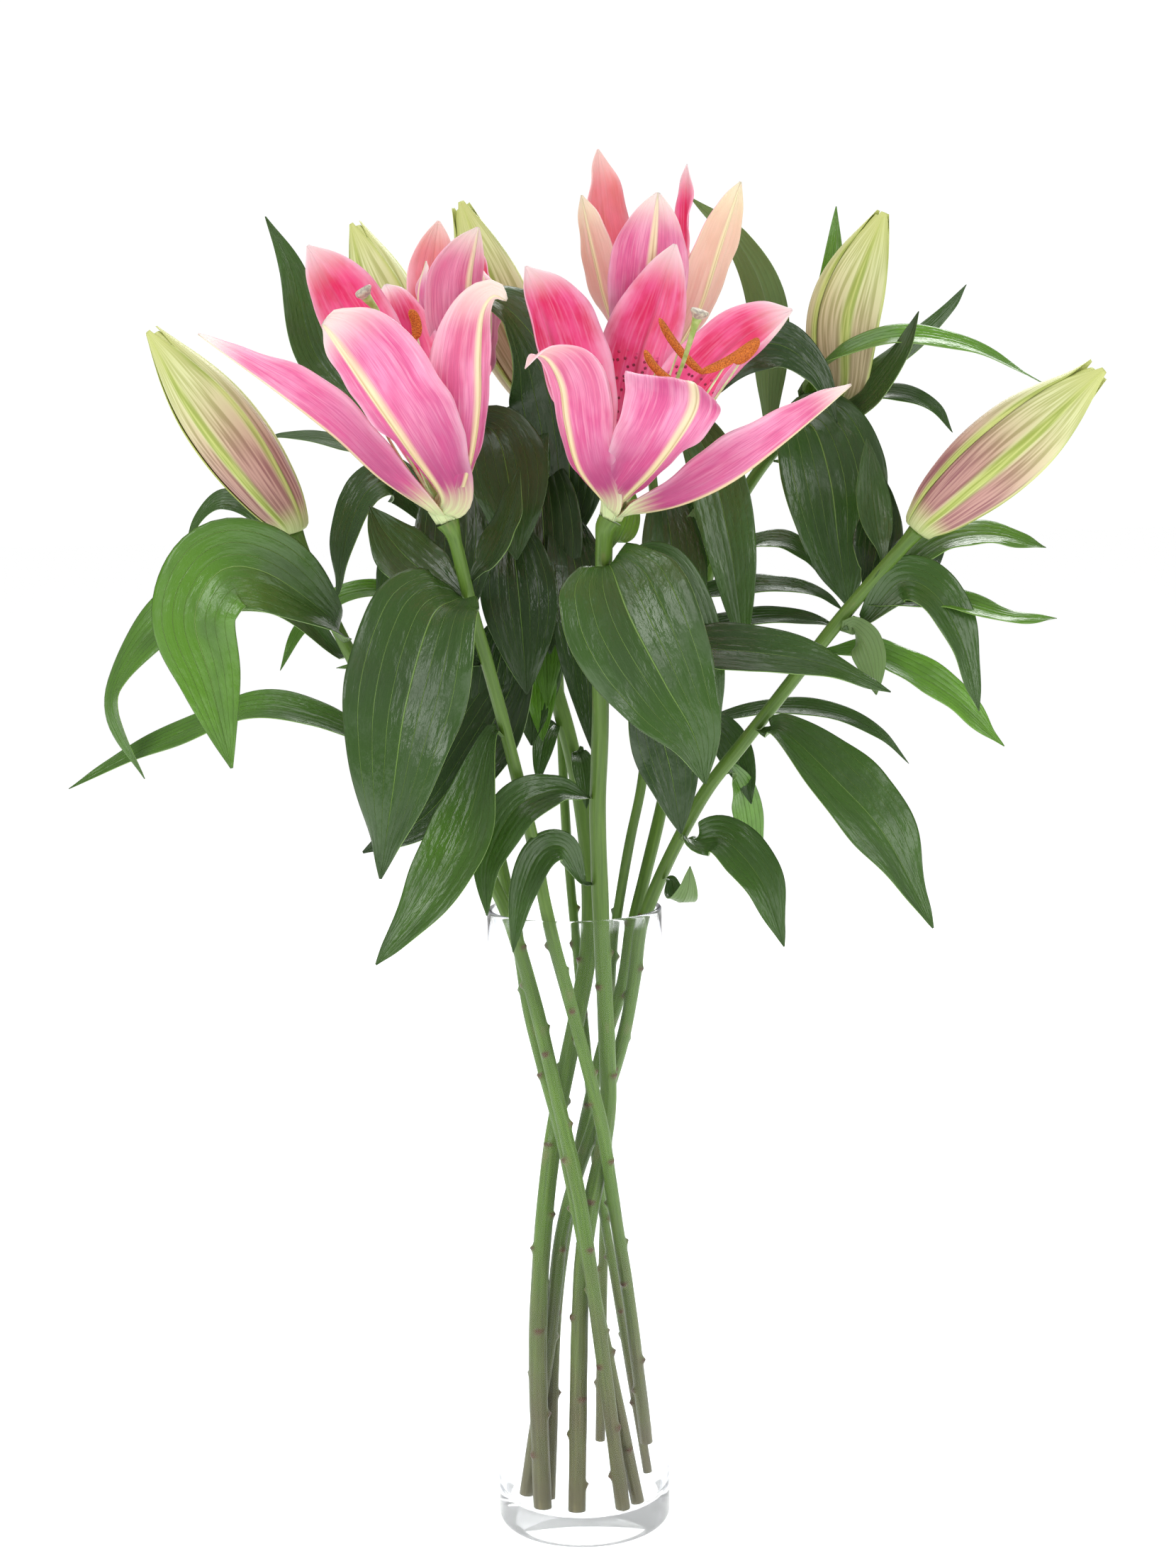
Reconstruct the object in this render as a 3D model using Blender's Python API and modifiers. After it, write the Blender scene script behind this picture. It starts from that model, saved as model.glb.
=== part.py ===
"""Cut lilies in a tall clear glass vase: nine stems, four open blooms, five buds and their leaves.

The frame has +Z up and its origin at the middle of the vase's underside.  Every stem is a tube
that follows its own route up from the vase's floor; every leaf, petal and sepal is a thin blade
along a midrib; every bud is a spindle on the end of its stem.
"""

import math

import bmesh
import bpy
from mathutils import Vector

MM = 0.001

# --- driving dimensions, in millimetres ------------------------------------------------------

VASE_RADIUS = 46.0
VASE_WALL = 3.0
VASE_HEIGHT = 334.0
VASE_FLOOR = 15.0
VASE_FOOT_ROUND = 6.0
VASE_STEPS = 40

STEM_POINTS = 20     # stretches that a stem's route is cut into
STEM_TOP_RADIUS = 4.6
STEM_SIDES = 8

BUD_SIDES = 10
BUD_POINTS = 12
BUD_START = 10.0     # how far a bud runs on in line with its stem

BLADE_POINTS = 9
BLADE_THICKNESS = 1.0
LEAF_CUP = 0.2       # in radians, how far the halves of a blade are folded up
PETAL_CUP = 0.35
SEAT = 0.6           # from a stem's skin to the middle of a leaf's root
LEAF_STALK = 6.0     # how far a leaf leaves its stem squarely
BUD_SEAT = 0.8       # between a stem's end and the bud on it

OVARY_RADIUS = 2.2
OVARY_LENGTH = 25.0
STYLE_RADIUS = 1.6
STIGMA_RADIUS = 4.2
RECEPTACLE_RADIUS = 5.9
RECEPTACLE_HEIGHT = 9.0
PETAL_RING = 5.2     # radius on which a bloom's six petals and sepals are rooted
PETAL_LIFT = 1.0     # of those roots above the receptacle
FILAMENT_RING = 3.3
FILAMENT_LIFT = 2.5
FILAMENT_RADIUS = 0.7
FILAMENT_SPREAD = 2.0
ANTHER_SHARES = (0.15, 0.5, 0.85, 1.0)
ANTHER_RADII = [1.3, 1.6, 1.3, 0.6]
FILAMENT_RING_WIRE = 0.8

# Width along a blade, as (share of its length, share of its full width).
LEAF_OUTLINE = ((0.0, 0.14), (0.12, 0.42), (0.28, 0.82), (0.45, 1.0), (0.6, 0.94),
                (0.78, 0.62), (0.92, 0.27), (1.0, 0.05))
PETAL_OUTLINE = ((0.0, 0.09), (0.15, 0.14), (0.35, 0.46), (0.55, 0.95), (0.68, 1.0),
                 (0.82, 0.78), (0.94, 0.36), (1.0, 0.1))
BUD_OUTLINE = ((0.0, 0.36), (0.08, 0.6), (0.25, 0.88), (0.45, 1.0), (0.62, 0.93),
               (0.8, 0.65), (0.92, 0.36), (1.0, 0.14))

# --- stems: radius, then the route from the cut end to the head ------------------------------

STEMS = {
    "left_bud_stem": (3.5, [(20, -33, 18), (5, -36, 151), (-6, -24, 216), (-34, -11, 330),
                            (-76, -12, 407), (-109, -20, 464), (-130, -25, 512), (-138, -28, 533)]),
    "green_bud_stem": (3.2, [(28, -24, 17), (8, -26, 127), (-1, -22, 175), (-9, -12, 215), (-24, 1, 274),
                             (-32, 14, 322), (-45, 25, 388), (-56, 35, 474), (-70, 45, 549),
                             (-79, 50, 602)]),
    "left_bloom_stem": (3.2, [(34, 4, 40), (26, -6, 117), (18, -14, 177), (12, -20, 223), (-4, -29, 294),
                              (-13, -37, 332), (-19, -42, 369), (-35, -56, 444), (-48, -75, 498),
                              (-57, -92, 538)]),
    "pale_bud_stem": (2.4, [(35, 17, 18), (18, 17, 130), (10, 19, 184), (5, 25, 253), (0, 33, 315),
                            (-4, 34, 374), (-7, 32, 474), (-12, 32, 548), (-15, 34, 592)]),
    "hidden_bloom_stem": (4.4, [(-22, -27, 16), (-23, -22, 104), (-18, -8, 176), (-9, 5, 233),
                                (-3, 10, 258), (8, 20, 320), (3, 25, 398), (-21, 15, 493),
                                (-40, 0, 557), (-52, -5, 589)]),
    "right_bloom_stem": (4.2, [(-4, -36, 18), (0, -19, 131), (7, -12, 181), (15, -8, 217), (16, -8, 252),
                               (15, -10, 293), (14, -14, 326), (13, -30, 390), (15, -42, 430),
                               (16, -60, 479), (21, -84, 518), (21, -92, 538)]),
    "top_bloom_stem": (2.5, [(9, 39, 28), (12, 36, 123), (16, 32, 204), (19, 26, 290), (22, 22, 320),
                             (29, 18, 361), (37, 15, 399), (45, 10, 474), (46, 10, 548), (42, 10, 593)]),
    "upper_bud_stem": (3.2, [(-19, -16, 17), (-14, -3, 114), (-7, 6, 161), (1, 12, 203), (14, 16, 255),
                             (26, 18, 292), (31, 17, 321), (48, 25, 386), (69, 40, 483), (79, 45, 520),
                             (106, 50, 565), (138, 50, 594)]),
    "right_bud_stem": (3.4, [(-31, -12, 18), (-17, -12, 104), (-7, -3, 171), (21, 2, 250), (31, 1, 295),
                             (36, -1, 326), (49, -5, 357), (69, -12, 395), (97, -22, 432),
                             (140, -40, 489), (174, -50, 529)]),
}

# --- buds: stem, radius, then the route past the stem's end ----------------------------------

BUDS = {
    "left_bud": ("left_bud_stem", 19, [(-167, -30, 580), (-207, -28, 635)]),
    "green_bud": ("green_bud_stem", 17, [(-89, 54, 639), (-111, 60, 694)]),
    "pale_bud": ("pale_bud_stem", 19, [(-34, 48, 645), (-54, 58, 703)]),
    "upper_bud": ("upper_bud_stem", 20, [(149, 52, 643), (169, 46, 694)]),
    "right_bud": ("right_bud_stem", 21, [(211, -52, 563), (265, -50, 607)]),
}

# --- blooms: the way each faces, its pistil, and its three sepals and three petals ------------
# A blade has its root's compass angle, its width, the way its inner side faces at the tip, and
# the points of its midrib after the root.

BLOOMS = {
    "left_bloom": {
        "faces": (-0.33, -0.15, 0.93),
        "pistil": [(-77, -116, 598), (-84, -124, 632), (-91, -128, 644)],
        "blades": {
            "sepal_left": (180, 36, (0.45, -0.25, 0.85),
                           [(-67, -100, 547), (-88, -108, 566), (-109, -110, 588), (-139, -106, 610),
                            (-173, -100, 630)]),
            "petal_front": (240, 48, (0.45, 0.85, 0.2),
                            [(-59, -108, 551), (-71, -130, 571), (-86, -146, 595), (-98, -152, 614),
                             (-106, -150, 628)]),
            "sepal_front": (300, 34, (-0.5, 0.85, 0.1),
                            [(-50, -108, 551), (-43, -126, 570), (-39, -138, 593), (-38, -146, 615),
                             (-35, -150, 633)]),
            "petal_right": (0, 40, (-0.9, -0.2, 0.3),
                            [(-51, -88, 549), (-43, -78, 571), (-39, -68, 598), (-43, -58, 623)]),
            "sepal_back": (60, 40, (-0.1, -0.95, 0.2),
                           [(-57, -80, 550), (-67, -60, 585), (-77, -45, 620), (-85, -38, 645),
                            (-89, -25, 656)]),
            "petal_back": (120, 50, (0.2, -0.95, 0.2),
                           [(-62, -82, 551), (-79, -68, 585), (-96, -60, 620), (-108, -62, 647),
                            (-122, -70, 672)]),
        },
    },
    "right_bloom": {
        "faces": (0.3, -0.25, 0.9),
        "pistil": [(45, -112, 586), (55, -118, 608), (63, -124, 632)],
        "blades": {
            "sepal_front": (225, 34, (0.5, 0.85, 0.15),
                            [(17, -108, 548), (6, -125, 563), (1, -138, 583), (0, -144, 600),
                             (-6, -150, 610)]),
            "petal_front": (285, 54, (-0.45, 0.85, 0.25),
                            [(28, -110, 548), (42, -135, 561), (55, -155, 577), (62, -162, 589),
                             (62, -152, 600)]),
            "sepal_right": (345, 36, (-0.4, -0.25, 0.88),
                            [(33, -100, 542), (55, -108, 549), (78, -112, 560), (102, -108, 577),
                             (137, -98, 601)]),
            "petal_left": (165, 52, (0.35, -0.9, 0.15),
                           [(16, -84, 553), (6, -74, 584), (-4, -68, 618), (-11, -66, 642),
                            (-18, -62, 661)]),
            "sepal_back": (105, 40, (-0.1, -0.95, 0.2),
                           [(24, -76, 552), (30, -54, 583), (37, -45, 615), (47, -42, 643),
                            (56, -42, 672)]),
            "petal_right": (45, 48, (-0.3, -0.85, 0.45),
                            [(30, -82, 552), (48, -68, 580), (68, -60, 607), (89, -58, 626),
                             (112, -62, 638)]),
        },
    },
    "top_bloom": {
        "faces": (0.03, 0.03, 1.0),
        "pistil": [(44, 8, 640), (44, 6, 667)],
        "blades": {
            "sepal_left": (200, 30, (0.8, 0.6, 0.1),
                           [(35, 0, 613), (23, -12, 641), (16, -18, 669), (10, -18, 699)]),
            "petal_front": (260, 42, (-0.2, 0.97, 0.0),
                            [(40, -10, 616), (42, -30, 643), (45, -36, 671), (48, -34, 698)]),
            "sepal_right": (320, 32, (-0.7, 0.7, 0.1),
                            [(52, 0, 613), (68, -12, 640), (79, -18, 672), (90, -20, 704)]),
            "petal_right": (20, 34, (-0.95, -0.3, 0.0),
                            [(51, 16, 617), (60, 24, 650), (64, 26, 683), (65, 24, 718)]),
            "sepal_back": (80, 28, (0.0, -1.0, 0.0),
                           [(46, 28, 617), (52, 50, 648), (56, 58, 678), (57, 56, 699)]),
            "petal_left": (140, 34, (0.7, -0.7, 0.0),
                           [(36, 19, 617), (28, 31, 651), (22, 34, 688), (19, 30, 727)]),
        },
    },
    "hidden_bloom": {
        "faces": (-0.05, 0.0, 1.0),
        "pistil": [(-55, -2, 632), (-56, 0, 650)],
        "blades": {
            "petal_left": (190, 30, (0.9, 0.3, 0.2),
                           [(-59, -10, 603), (-69, -18, 628), (-73, -18, 649), (-69, -14, 668)]),
            "sepal_front": (250, 36, (-0.6, 0.8, 0.0),
                            [(-47, -20, 603), (-46, -36, 627), (-46, -42, 655), (-41, -40, 682)]),
            "petal_right": (310, 30, (-0.8, 0.5, 0.0),
                            [(-43, -10, 603), (-38, -14, 628), (-38, -12, 649), (-43, -10, 667)]),
            "sepal_right": (10, 20, (-0.9, -0.3, 0.0),
                            [(-44, 3, 604), (-38, 7, 633), (-38, 8, 658), (-44, 8, 678)]),
            "petal_back": (70, 18, (-0.2, -0.95, 0.0),
                           [(-49, 11, 604), (-47, 22, 634), (-48, 24, 659), (-52, 20, 678)]),
            "sepal_back": (130, 30, (0.3, -0.95, 0.0),
                           [(-58, 8, 604), (-66, 18, 634), (-68, 22, 663), (-64, 20, 691)]),
        },
    },
}

# --- the stamens of the two open blooms: the lower and upper end of each anther, in the order of
# the filaments round the ovary ----------------------------------------------------------------

STAMENS = {
    "left_bloom": [((-66, -114, 604), (-66, -116, 616)), ((-69, -100, 626), (-71, -100, 638)),
                   ((-92, -108, 622), (-98, -108, 634)), ((-95, -116, 605), (-101, -116, 616)),
                   ((-86, -130, 600), (-90, -133, 611)), ((-73, -127, 600), (-74, -130, 612))],
    "right_bloom": [((82, -108, 611), (92, -106, 621)), ((64, -108, 607), (46, -108, 630)),
                    ((36, -100, 588), (34, -98, 600)), ((50, -127, 602), (38, -129, 615)),
                    ((52, -138, 580), (54, -142, 590)), ((66, -130, 606), (89, -129, 619))],
}

# --- leaves: stem, height of the root, width, the way the upper side faces at root and tip, and
# the points of the midrib after the root ------------------------------------------------------

LEAVES = {
    "leaf_left_arching": ("left_bud_stem", 477, 48, (0.3, -0.8, 0.5), (-0.6, -0.8, 0.1),
                          [(-121, -46, 492), (-148, -64, 520), (-172, -70, 523), (-183, -74, 497),
                           (-175, -76, 462), (-167, -77, 419)]),
    "leaf_left_outer": ("left_bud_stem", 470, 30, (-0.2, -0.5, 0.85), (-0.8, -0.6, 0.1),
                        [(-147, -5, 497), (-185, 5, 502), (-214, 12, 486), (-236, 15, 460),
                         (-240, 12, 438), (-224, 5, 405)]),
    "leaf_left_long": ("left_bud_stem", 420, 26, (0.0, -0.6, 0.8), (-0.1, -0.5, 0.85),
                       [(-131, 0, 435), (-169, 10, 440), (-220, 20, 422), (-268, 25, 398)]),
    "leaf_left_front": ("left_bloom_stem", 502, 64, (-0.4, -0.8, 0.4), (-0.2, -0.97, -0.1),
                        [(-69, -98, 490), (-82, -115, 450), (-90, -120, 410), (-95, -118, 369)]),
    "leaf_left_dark": ("hidden_bloom_stem", 482, 40, (-0.5, -0.75, 0.4), (-0.4, -0.9, 0.1),
                       [(-29, -10, 455), (-49, -30, 420), (-74, -45, 390), (-106, -50, 372)]),
    "leaf_left_drooping": ("left_bloom_stem", 431, 36, (-0.5, -0.75, 0.4), (-0.5, -0.85, 0.1),
                           [(-52, -70, 389), (-70, -80, 356), (-98, -85, 321)]),
    "leaf_rim_left": ("right_bloom_stem", 396, 24, (-0.3, -0.7, 0.6), (-0.3, -0.95, 0.0),
                      [(-8, -50, 402), (-28, -64, 395), (-42, -72, 370), (-43, -76, 343)]),
    "leaf_rim_right": ("right_bud_stem", 371, 28, (0.3, -0.7, 0.6), (0.5, -0.85, 0.0),
                       [(64, -26, 372), (78, -35, 373), (96, -47, 352), (106, -55, 321)]),
    "leaf_right_drooping": ("right_bud_stem", 430, 44, (0.1, -0.75, 0.65), (0.6, -0.75, 0.2),
                            [(108, -38, 429), (133, -50, 405), (157, -60, 377), (180, -65, 331)]),
    "leaf_right_front": ("right_bloom_stem", 478, 30, (0.0, -0.6, 0.8), (0.1, -0.7, 0.7),
                         [(48, -82, 475), (86, -85, 473), (124, -80, 466), (158, -75, 451)]),
    "leaf_right_bright": ("right_bud_stem", 470, 28, (0.0, -0.6, 0.8), (0.2, -0.6, 0.75),
                          [(158, -25, 465), (195, -20, 444), (223, -18, 417)]),
    "leaf_right_level": ("right_bud_stem", 496, 20, (0.0, -0.5, 0.85), (0.0, -0.5, 0.85),
                         [(187, -48, 494), (219, -48, 486), (245, -45, 484)]),
    "leaf_right_upper": ("right_bud_stem", 510, 26, (0.0, -0.5, 0.85), (0.0, -0.5, 0.85),
                         [(189, -38, 523), (214, -34, 526), (242, -30, 519)]),
    "leaf_upper_hanging": ("upper_bud_stem", 570, 60, (0.1, -0.6, 0.8), (0.3, -0.95, 0.1),
                           [(116, 36, 577), (128, 20, 583), (136, 4, 556), (140, 0, 521), (145, 0, 489)]),
    "leaf_upper_bright": ("upper_bud_stem", 586, 20, (0.0, -0.5, 0.85), (0.2, -0.5, 0.85),
                          [(128, 38, 606), (146, 22, 620), (174, 22, 628), (213, 38, 623), (257, 50, 602)]),
    "leaf_upper_pale": ("upper_bud_stem", 572, 22, (0.4, 0.7, 0.5), (0.2, 0.9, 0.3),
                        [(109, 62, 600), (108, 62, 648), (93, 60, 681), (68, 55, 704)]),
    "leaf_centre_front": ("right_bloom_stem", 517, 66, (0.0, -0.9, 0.4), (0.0, -0.99, -0.1),
                          [(33, -108, 489), (50, -122, 459), (63, -126, 436), (66, -124, 413)]),
    "leaf_back_dark": ("pale_bud_stem", 519, 55, (0.0, -0.9, 0.4), (-0.2, -0.8, 0.5),
                       [(1, 14, 546), (0, 4, 590), (-8, -8, 618), (-28, -30, 643), (-48, -51, 650)]),
    "leaf_back_left": ("green_bud_stem", 582, 24, (0.3, -0.9, 0.2), (0.3, -0.9, 0.2),
                       [(-98, 60, 588), (-134, 76, 624), (-147, 78, 672), (-160, 76, 700)]),
}


# --- shape helpers ---------------------------------------------------------------------------

def smooth_route(points, count):
    """Evenly spaced points along a smooth curve through the given ones."""
    knots = [Vector(p) for p in points]
    knots = [knots[0] * 2 - knots[1]] + knots + [knots[-1] * 2 - knots[-2]]
    fine = []
    steps = 12
    for a, b, c, d in zip(knots, knots[1:], knots[2:], knots[3:]):
        for step in range(steps):
            t = step / steps
            fine.append(0.5 * (2 * b + (c - a) * t + (2 * a - 5 * b + 4 * c - d) * t ** 2
                               + (3 * b - a - 3 * c + d) * t ** 3))
    fine.append(knots[-2])
    lengths = [0.0]
    for a, b in zip(fine, fine[1:]):
        lengths.append(lengths[-1] + (b - a).length)
    route = []
    place = 0
    for index in range(count + 1):
        target = lengths[-1] * index / count
        while place < len(fine) - 2 and lengths[place + 1] < target:
            place += 1
        share = (target - lengths[place]) / (lengths[place + 1] - lengths[place])
        route.append(fine[place].lerp(fine[place + 1], share))
    return route


def outline_at(outline, share):
    """The width share of an outline at a share of its length."""
    for (t0, w0), (t1, w1) in zip(outline, outline[1:]):
        if share <= t1:
            return w0 + (w1 - w0) * (share - t0) / (t1 - t0)
    return outline[-1][1]


def tangents(route):
    """The direction of travel at each point of a route."""
    ends = [route[0]] + route + [route[-1]]
    return [(after - before).normalized() for before, after in zip(ends, ends[2:])]


def make_material(name, colour, roughness, transmission=0.0):
    """A Principled material."""
    material = bpy.data.materials.new(name)
    material.use_nodes = True
    shader = material.node_tree.nodes["Principled BSDF"]
    shader.inputs["Base Color"].default_value = (*colour, 1.0)
    shader.inputs["Roughness"].default_value = roughness
    shader.inputs["Transmission Weight"].default_value = transmission
    return material


def add_object(name, data, material):
    """Link an object that holds the data to the bouquet's collection."""
    data.materials.append(material)
    piece = bpy.data.objects.new(name, data)
    bouquet.objects.link(piece)
    return piece


def make_tube(name, route, radii, sides, material):
    """A solid round rod along a route, with its own radius at every point."""
    curve = bpy.data.curves.new(name, "CURVE")
    curve.dimensions = "3D"
    curve.bevel_depth = MM
    curve.bevel_resolution = sides // 2 - 2
    curve.use_fill_caps = True
    spline = curve.splines.new("POLY")
    spline.points.add(len(route) - 1)
    for knot, place, radius in zip(spline.points, route, radii):
        knot.co = (*(place * MM), 1.0)
        knot.radius = radius
    return add_object(name, curve, material)


def make_blade(name, route, start, width, outline, root_face, tip_face, cup, material):
    """A thin closed leaf or petal: a grid bent along its midrib, then given its thickness.

    Its root edge lies square to the start direction, so it can sit against a stem.
    """
    mesh = bpy.data.meshes.new(name)
    grid = bmesh.new()
    rows = len(route) - 1
    bmesh.ops.create_grid(grid, x_segments=2, y_segments=rows, size=1.0)
    directions = tangents(route)
    directions[0] = start
    for corner in grid.verts:
        share = (corner.co.y + 1) / 2
        row = round(share * rows)
        along = directions[row]
        face = Vector(root_face).lerp(Vector(tip_face), min(1.0, 2 * share))
        face = (face - along * face.dot(along)).normalized()
        side = along.cross(face)
        half = width / 2 * outline_at(outline, share)
        sideways = side * corner.co.x * half * math.cos(cup)
        upwards = face * abs(corner.co.x) * half * math.sin(cup)
        corner.co = (route[row] + sideways + upwards) * MM
    grid.to_mesh(mesh)
    grid.free()
    mesh.shade_smooth()
    blade = add_object(name, mesh, material)
    solidify = blade.modifiers.new("thickness", "SOLIDIFY")
    solidify.thickness = BLADE_THICKNESS * MM
    solidify.offset = 0.0
    return blade


# --- the vase --------------------------------------------------------------------------------

def make_vase():
    """A thick-floored cylinder, turned from its profile."""
    inside = VASE_RADIUS - VASE_WALL
    lip = VASE_WALL / 3
    profile = [(0, VASE_FLOOR), (inside - 4, VASE_FLOOR), (inside, VASE_FLOOR + 4)]
    profile += [(inside, VASE_HEIGHT - lip), (inside + lip, VASE_HEIGHT), (VASE_RADIUS - lip, VASE_HEIGHT)]
    profile += [(VASE_RADIUS, VASE_HEIGHT - lip)]
    for step in range(4):
        turn = math.radians(30 * step)
        profile.append((VASE_RADIUS - VASE_FOOT_ROUND * (1 - math.cos(turn)),
                        VASE_FOOT_ROUND * (1 - math.sin(turn))))
    profile.append((0, 0))
    mesh = bpy.data.meshes.new("vase")
    mesh.from_pydata([(x * MM, 0, z * MM) for x, z in profile],
                     [(i, i + 1) for i in range(len(profile) - 1)], [])
    vase = add_object("vase", mesh, GLASS)
    screw = vase.modifiers.new("turn", "SCREW")
    screw.steps = VASE_STEPS
    screw.render_steps = VASE_STEPS
    screw.use_merge_vertices = True
    screw.merge_threshold = 0.00001
    return vase


# --- stems, buds, leaves and blooms ----------------------------------------------------------

def stem_route(name):
    """The middle line of a stem; the last stretch under a bloom runs the way the bloom faces."""
    route = smooth_route(STEMS[name][1], STEM_POINTS)
    bloom = BLOOMS.get(name.removesuffix("_stem"))
    if bloom:
        route[-2] = route[-1] - Vector(bloom["faces"]).normalized() * RECEPTACLE_HEIGHT
    return route


def stem_at(name, height):
    """The middle of a stem and its direction at a height."""
    route = stem_route(name)
    for below, above in zip(route, route[1:]):
        if above.z >= height:
            share = (height - below.z) / (above.z - below.z)
            return below.lerp(above, share), (above - below).normalized()


def make_stem(name):
    """A stem; under a bloom it widens to the receptacle and goes on as ovary, style and stigma."""
    route = stem_route(name)
    radii = [STEMS[name][0]] * len(route)
    bloom = BLOOMS.get(name.removesuffix("_stem"))
    if bloom:
        axis = Vector(bloom["faces"]).normalized()
        base = route[-1]
        radii[-1] = RECEPTACLE_RADIUS
        route += smooth_route([base + axis * 0.5, base + axis * OVARY_LENGTH] + bloom["pistil"], 10)
        radii += [OVARY_RADIUS] * 5 + [STYLE_RADIUS] * 4 + [STIGMA_RADIUS * 0.8, STIGMA_RADIUS]
    else:
        radii[-1] = STEM_TOP_RADIUS
    return make_tube(name, route, radii, STEM_SIDES, STEM)


def make_bud(name):
    """A closed bud, carried on the end of its stem."""
    stem, radius, points = BUDS[name]
    before, end = stem_route(stem)[-2:]
    along = (end - before).normalized()
    start = end + along * BUD_SEAT
    route = smooth_route([start, start + along * BUD_START] + points, BUD_POINTS)
    radii = [radius * outline_at(BUD_OUTLINE, step / BUD_POINTS) for step in range(BUD_POINTS + 1)]
    return make_tube(name, route, radii, BUD_SIDES, BUD)


def make_leaf(name):
    """A leaf, rooted on the skin of its stem."""
    stem, height, width, root_face, tip_face, points = LEAVES[name]
    middle, along = stem_at(stem, height)
    outward = Vector(points[0]) - middle
    outward = (outward - along * outward.dot(along)).normalized()
    root = middle + outward * (STEMS[stem][0] + SEAT)
    stalk = root + outward * LEAF_STALK + along * LEAF_STALK / 2
    route = smooth_route([root, stalk] + points, BLADE_POINTS)
    return make_blade(name, route, outward, width, LEAF_OUTLINE, root_face, tip_face,
                      LEAF_CUP, LEAF)


def make_petals(bloom_name):
    """A bloom's three sepals and three petals, rooted on a ring round its ovary."""
    bloom = BLOOMS[bloom_name]
    axis = Vector(bloom["faces"]).normalized()
    right = (Vector((1, 0, 0)) - axis * axis.x).normalized()
    back = axis.cross(right)
    base = Vector(STEMS[bloom_name + "_stem"][1][-1])
    for blade_name, (angle, width, tip_face, points) in bloom["blades"].items():
        turn = math.radians(angle)
        outward = right * math.cos(turn) + back * math.sin(turn)
        root = base + outward * PETAL_RING + axis * PETAL_LIFT
        route = smooth_route([root, root + outward * 1.5 + axis * 7] + points, BLADE_POINTS)
        make_blade(f"{bloom_name}_{blade_name}", route, axis, width, PETAL_OUTLINE, -outward, tip_face,
                   PETAL_CUP, PETAL)


def solid_from_curve(tube):
    """The mesh of a tube with its caps welded on, in the collection of shapes to be joined."""
    depsgraph = bpy.context.evaluated_depsgraph_get()
    mesh = bpy.data.meshes.new_from_object(tube.evaluated_get(depsgraph))
    welded = bmesh.new()
    welded.from_mesh(mesh)
    bmesh.ops.remove_doubles(welded, verts=welded.verts, dist=0.00001)
    welded.to_mesh(mesh)
    welded.free()
    solid = bpy.data.objects.new(tube.name + "_solid", mesh)
    solid.matrix_world = tube.matrix_world
    solid.hide_render = True
    solid.display_type = "WIRE"
    joined_shapes.objects.link(solid)
    bpy.data.objects.remove(tube)
    return solid


def make_stamens(bloom_name):
    """Six filaments that rise from one ring round the ovary, each with its anther at its top."""
    axis = Vector(BLOOMS[bloom_name]["faces"]).normalized()
    right = (Vector((1, 0, 0)) - axis * axis.x).normalized()
    back = axis.cross(right)
    base = Vector(STEMS[bloom_name + "_stem"][1][-1]) + axis * FILAMENT_LIFT
    bpy.ops.mesh.primitive_torus_add(major_segments=24, minor_segments=8, major_radius=FILAMENT_RING * MM,
                                     minor_radius=FILAMENT_RING_WIRE * MM, location=base * MM,
                                     rotation=axis.to_track_quat("Z", "Y").to_euler())
    ring = bpy.context.object
    ring.name = bloom_name + "_stamens"
    ring.data.shade_smooth()
    ring.data.materials.append(ANTHER)
    for holder in list(ring.users_collection):
        holder.objects.unlink(ring)
    bouquet.objects.link(ring)
    for index, (low, high) in enumerate(STAMENS[bloom_name]):
        turn = math.radians(60 * index)
        outward = right * math.cos(turn) + back * math.sin(turn)
        foot = base + outward * FILAMENT_RING
        low = Vector(low)
        high = Vector(high)
        spread = outward * FILAMENT_SPREAD
        route = smooth_route([foot, foot + axis * 10 + spread, foot.lerp(low, 0.6) + spread, low], 5)
        radii = [FILAMENT_RADIUS] * len(route) + ANTHER_RADII
        route += [low.lerp(high, share) for share in ANTHER_SHARES]
        tube = make_tube(f"{bloom_name}_filament_{index}", route, radii, 6, ANTHER)
        union = ring.modifiers.new(f"filament_{index}", "BOOLEAN")
        union.operation = "UNION"
        union.object = solid_from_curve(tube)


for leftover in list(bpy.data.objects):
    bpy.data.objects.remove(leftover)

bouquet = bpy.data.collections.new("lilies_in_vase")
joined_shapes = bpy.data.collections.new("joined_shapes")
bpy.context.scene.collection.children.link(bouquet)
bpy.context.scene.collection.children.link(joined_shapes)

GLASS = make_material("clear_glass", (0.93, 0.97, 0.98), 0.02, transmission=1.0)
STEM = make_material("stem_green", (0.25, 0.36, 0.10), 0.45)
LEAF = make_material("leaf_green", (0.06, 0.17, 0.05), 0.35)
PETAL = make_material("petal_pink", (0.82, 0.30, 0.50), 0.45)
BUD = make_material("bud_green_and_mauve", (0.60, 0.58, 0.38), 0.45)
ANTHER = make_material("pollen_orange", (0.65, 0.22, 0.03), 0.8)

make_vase()
for stem_name in STEMS:
    make_stem(stem_name)
for bud_name in BUDS:
    make_bud(bud_name)
for bloom_name in BLOOMS:
    make_petals(bloom_name)
for bloom_name in STAMENS:
    make_stamens(bloom_name)
for leaf_name in LEAVES:
    make_leaf(leaf_name)
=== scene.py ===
# %% [markdown]
# A bouquet of cut pink lilies in a tall clear glass vase.
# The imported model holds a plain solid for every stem, bud and petal and for the largest leaves.  This
# lesson puts a finer piece over each of them: thin ruffled petals, ribbed buds, veined leaves and a turned
# glass vase.  The routes of stems, petals, buds and leaves are lists that repeat those of the packed
# model, and here and there a point was moved to make a better shape.
# Everything is in metres, +Z is up, and the origin is in the middle of the vase's underside.

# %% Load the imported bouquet
import math
import random

import bpy
import numpy as np
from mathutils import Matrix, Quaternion, Vector


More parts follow.
